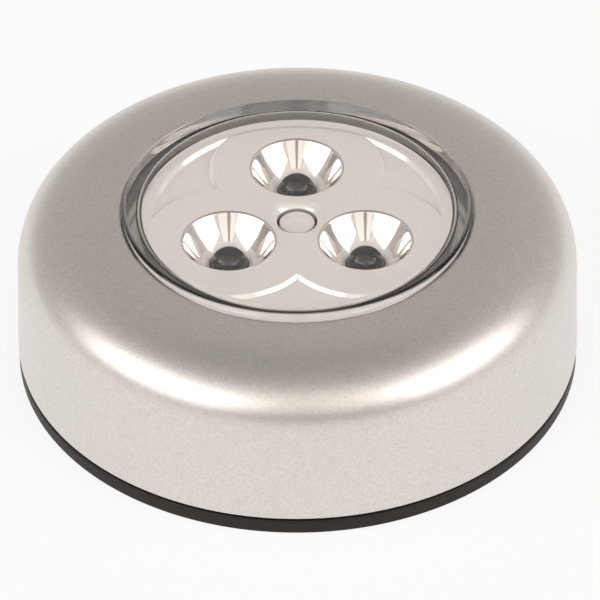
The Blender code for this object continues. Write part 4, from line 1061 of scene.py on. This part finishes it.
INNER_FINISHES = (
    (("circuit_board",), ("solder_masked_laminate", "#1F5A35", 0.38, 0.0, 0.5 * MM, 0.01 * MM, 0.15)),
    (("switch_body",), ("moulded_black_nylon", "#1B1B1C", 0.45, 0.0, 0.3 * MM, 0.01 * MM, 0.2)),
    (("resistor",), ("lacquered_ceramic", "#C9A878", 0.4, 0.0, 0.5 * MM, 0.01 * MM, 0.12)),
    (("battery_tray",), ("moulded_grey_abs", "#3C3B3A", 0.5, 0.0, 0.35 * MM, 0.012 * MM, 0.15)),
    (("cell_1", "cell_2", "cell_3"), ("printed_cell_sleeve", "#4A4E57", 0.3, 0.3, 1.5 * MM, 0.01 * MM, 0.12)),
    (("contact_plate_negative", "contact_plate_positive", "contact_bridge_left", "contact_bridge_right"),
     ("nickel_plated_steel", "#CBC8C1", 0.24, 1.0, 0.6 * MM, 0.004 * MM, 0.08)),
    (("contact_spring_1", "contact_spring_2", "contact_spring_3"),
     ("drawn_spring_steel", "#B5B4B2", 0.3, 1.0, 0.3 * MM, 0.003 * MM, 0.1)),
    (("lead_wire_red",), ("red_pvc_wire", "#A81D18", 0.42, 0.0, 0.4 * MM, 0.006 * MM, 0.1)),
    (("lead_wire_black",), ("black_pvc_wire", "#191919", 0.42, 0.0, 0.4 * MM, 0.006 * MM, 0.2)),
    (("tray_screw_1", "tray_screw_2", "tray_screw_3", "board_screw_1", "board_screw_2"),
     ("zinc_plated_steel", "#BDBFC0", 0.33, 1.0, 0.5 * MM, 0.006 * MM, 0.12)),
)


class PUCK_OT_inside(bpy.types.Operator):
    """Finish the fixed pieces inside the light"""
    bl_idname = "puck.inside"
    bl_label = "Inner pieces"

    def execute(self, context):
        for names, values in INNER_FINISHES:
            material = plain_finish(*values)
            for name in names:
                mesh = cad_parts[name].data
                mesh.materials.clear()
                mesh.materials.append(material)
        return {"FINISHED"}


# Stage

# Grey levels of the studio by azimuth in degrees, 0 in front: a row at lamp height, one at the
# horizon and one overhead. The gap between the softboxes shows the dark stands beside the camera.
MIDDLE_LEVELS = ((-180, 0.45), (-115, 0.44), (-84, 0.58), (-26, 1.10), (-23, 0.60), (-20, 1.10), (-13, 1.30),
                 (-5, 1.30), (-3, 0.40), (3, 0.40), (5, 1.30), (26, 1.30), (29, 0.70), (32, 1.00), (42, 0.95),
                 (84, 0.68), (115, 0.52), (180, 0.45))
HORIZON_LEVELS = ((-180, 0.60), (-110, 0.48), (-60, 0.34), (-30, 0.22), (30, 0.22), (60, 0.38), (110, 0.56),
                  (180, 0.60))
OVERHEAD_LEVELS = ((-180, 0.26), (-90, 0.26), (0, 0.38), (90, 0.30), (180, 0.26))


class StageSettings(bpy.types.PropertyGroup):
    """Camera, lamps and floor."""
    elevation: FloatProperty(
        name="Elevation", description="Camera's angle above the horizon", subtype="ANGLE",
        default=math.radians(39.91))
    distance: measure("Distance", "Camera's distance from the origin", 0.6763)
    focal_length: FloatProperty(
        name="Focal length", description="In millimetres, on a 36 mm sensor", default=332.2)
    roll: FloatProperty(
        name="Roll", description="Camera's tilt to the side", subtype="ANGLE", default=-0.0053)
    softbox_radiance: FloatProperty(
        name="Softbox radiance", description="How bright the softboxes' faces are; 1 is white",
        default=2.05, min=0.0)
    floor: paint("Floor", "Colour of the floor", "#FAFAF9")


FRAME_AIM = Vector((0.3, 0.0, 7.63)) * MM
SOFTBOXES = (("left_softbox", -58, 31, 1.45, 0.72), ("right_softbox", 67, 31, 1.20, 0.72))
SOFTBOX_DISTANCE = 1.25
SENSOR_WIDTH = 36.0
NEAR_LIMIT = 0.05
WARMTH = (1.0, 0.96, 0.94)  # The studio's walls are a warm grey
HORIZON_BLEND = (0.22, 0.42)  # Heights between which one row of levels gives way to the next
OVERHEAD_BLEND = (0.78, 0.94)
FLOOR_SIZE = 3.0
FLOOR_WHITE = 0.85  # Share of plain white in what the eye sees of the floor; the rest takes the shadow
FLOOR_GAP = 0.05 * MM  # So that the floor and the underside are never the same plane


def toward(azimuth, elevation):
    """The direction from the light to a place in the studio; azimuth 0 is the front."""
    flat = math.cos(elevation)
    return Vector((math.sin(azimuth) * flat, -math.cos(azimuth) * flat, math.sin(elevation)))


def azimuth_ramp(tree, azimuth, levels):
    """A colour ramp of grey levels by azimuth."""
    ramp = add_node(tree, "ShaderNodeValToRGB", {0: azimuth})
    stops = ramp.color_ramp.elements
    stops.remove(stops[1])
    for index, (degrees, level) in enumerate(levels):
        stop = stops[0] if index == 0 else stops.new(degrees / 360 + 0.5)
        stop.position = degrees / 360 + 0.5
        stop.color = (*(level * warm for warm in WARMTH), 1.0)
    return ramp.outputs[0]


def studio_world():
    """A plain tent: brightest in front at lamp height, dimmer behind and overhead, dark low in front."""
    world = bpy.data.worlds.new("studio_tent")
    world.use_nodes = True
    tree = world.node_tree
    direction = add_node(tree, "ShaderNodeTexCoord").outputs["Generated"]
    split = add_node(tree, "ShaderNodeSeparateXYZ", {0: direction})
    ahead = add_node(tree, "ShaderNodeMath", {0: split.outputs[1], 1: -1.0}, operation="MULTIPLY")
    angle = add_node(tree, "ShaderNodeMath", {0: split.outputs[0], 1: ahead.outputs[0]}, operation="ARCTAN2")
    azimuth = add_node(tree, "ShaderNodeMapRange", {0: angle.outputs[0], 1: -math.pi, 2: math.pi}).outputs[0]
    low = azimuth_ramp(tree, azimuth, HORIZON_LEVELS)
    middle = azimuth_ramp(tree, azimuth, MIDDLE_LEVELS)
    high = azimuth_ramp(tree, azimuth, OVERHEAD_LEVELS)
    height = split.outputs[2]
    rise = add_node(tree, "ShaderNodeMapRange", {0: height, 1: HORIZON_BLEND[0], 2: HORIZON_BLEND[1]},
                    interpolation_type="SMOOTHSTEP")
    lower = add_node(tree, "ShaderNodeMix", {0: rise.outputs[0], 6: low, 7: middle}, data_type="RGBA")
    fall = add_node(tree, "ShaderNodeMapRange", {0: height, 1: OVERHEAD_BLEND[0], 2: OVERHEAD_BLEND[1]},
                    interpolation_type="SMOOTHSTEP")
    mixed = add_node(tree, "ShaderNodeMix", {0: fall.outputs[0], 6: lower.outputs[2], 7: high},
                     data_type="RGBA")
    tree.links.new(mixed.outputs[2], tree.nodes["Background"].inputs["Color"])
    bpy.context.scene.world = world


def floor_material(settings):
    """Seamless white paper: plain diffuse, lifted to white where the eye or a mirror sees it."""
    material = bpy.data.materials.new("white_paper_floor")
    material.use_nodes = True
    tree = material.node_tree
    tree.nodes.clear()
    diffuse = add_node(tree, "ShaderNodeBsdfDiffuse", {0: settings.floor})
    white = add_node(tree, "ShaderNodeEmission", {0: (1.0, 1.0, 1.0, 1.0), 1: 1.0})
    path = add_node(tree, "ShaderNodeLightPath")
    seen = path.outputs["Is Camera Ray"]
    for ray in ("Is Glossy Ray", "Is Transmission Ray"):
        seen = add_node(tree, "ShaderNodeMath", {0: seen, 1: path.outputs[ray]}, operation="ADD",
                        use_clamp=True).outputs[0]
    share = add_node(tree, "ShaderNodeMath", {0: seen, 1: FLOOR_WHITE}, operation="MULTIPLY")
    mixed = add_node(tree, "ShaderNodeMixShader", {0: share.outputs[0]})
    tree.links.new(diffuse.outputs[0], mixed.inputs[1])
    tree.links.new(white.outputs[0], mixed.inputs[2])
    add_node(tree, "ShaderNodeOutputMaterial", {0: mixed.outputs[0]})
    return material


class PUCK_OT_stage(bpy.types.Operator):
    """Make the floor, studio, lamps and camera"""
    bl_idname = "puck.stage"
    bl_label = "Stage"

    def execute(self, context):
        scene = context.scene
        settings = scene.puck_stage
        studio_world()

        shape = bmesh.new()
        bmesh.ops.create_grid(shape, x_segments=1, y_segments=1, size=FLOOR_SIZE)
        bmesh.ops.translate(shape, vec=(0.0, 0.0, -FLOOR_GAP), verts=shape.verts)
        mesh = as_mesh(shape, bpy.data.meshes.new("floor"))
        mesh.materials.append(floor_material(settings))
        floor = link("floor", mesh)

        for name, azimuth, elevation, width, height in SOFTBOXES:
            lamp = bpy.data.lights.new(name, "AREA")
            lamp.shape = "RECTANGLE"
            lamp.size = width
            lamp.size_y = height
            lamp.energy = settings.softbox_radiance * math.pi * width * height
            holder = link(name, lamp)
            direction = toward(math.radians(azimuth), math.radians(elevation))
            holder.location = direction * SOFTBOX_DISTANCE
            holder.rotation_euler = direction.to_track_quat("Z", "Y").to_euler()

        camera = bpy.data.cameras.new("camera")
        camera.sensor_width = SENSOR_WIDTH
        camera.lens = settings.focal_length
        camera.clip_start = NEAR_LIMIT
        holder = link("camera", camera)
        holder.location = toward(0.0, settings.elevation) * settings.distance
        aim = (holder.location - FRAME_AIM).to_track_quat("Z", "Y").to_matrix()
        holder.rotation_euler = (aim @ Matrix.Rotation(settings.roll, 3, "Z")).to_euler()
        scene.camera = holder
        scene.view_settings.view_transform = "Standard"
        return {"FINISHED"}


# Add-on

SETTINGS = {
    "puck_shell": ShellSettings,
    "puck_lens": LensSettings,
    "puck_reflector": ReflectorSettings,
    "puck_diodes": DiodeSettings,
    "puck_plunger": PlungerSettings,
    "puck_spring": SpringSettings,
    "puck_cover": CoverSettings,
    "puck_stage": StageSettings,
}
OPERATORS = (PUCK_OT_shell, PUCK_OT_lens, PUCK_OT_reflector, PUCK_OT_diodes,
             PUCK_OT_plunger, PUCK_OT_spring, PUCK_OT_cover, PUCK_OT_inside, PUCK_OT_stage)


class PUCK_PT_panel(bpy.types.Panel):
    """Sizes, colours and operators of the puck light"""
    bl_label = "Puck Light"
    bl_idname = "PUCK_PT_panel"
    bl_space_type = "VIEW_3D"
    bl_region_type = "UI"
    bl_category = "Puck Light"

    def draw(self, context):
        for name, group in SETTINGS.items():
            box = self.layout.box()
            box.label(text=group.__doc__)
            for prop in group.__annotations__:
                box.prop(getattr(context.scene, name), prop)
        for operator in OPERATORS:
            self.layout.operator(operator.bl_idname)


def register():
    """Add the classes and the scene's settings."""
    for group in (*SETTINGS.values(), *OPERATORS, PUCK_PT_panel):
        bpy.utils.register_class(group)
    for name, group in SETTINGS.items():
        setattr(bpy.types.Scene, name, PointerProperty(type=group))


def unregister():
    """Take the settings and classes away again."""
    for name in SETTINGS:
        delattr(bpy.types.Scene, name)
    for group in reversed((*SETTINGS.values(), *OPERATORS, PUCK_PT_panel)):
        bpy.utils.unregister_class(group)


def main():
    """Dress the light piece by piece."""
    register()
    bpy.ops.puck.shell()
    bpy.ops.puck.lens()
    bpy.ops.puck.reflector()
    bpy.ops.puck.diodes()
    bpy.ops.puck.plunger()
    bpy.ops.puck.spring()
    bpy.ops.puck.cover()
    bpy.ops.puck.inside()
    bpy.ops.puck.stage()


if __name__ == "__main__":
    main()
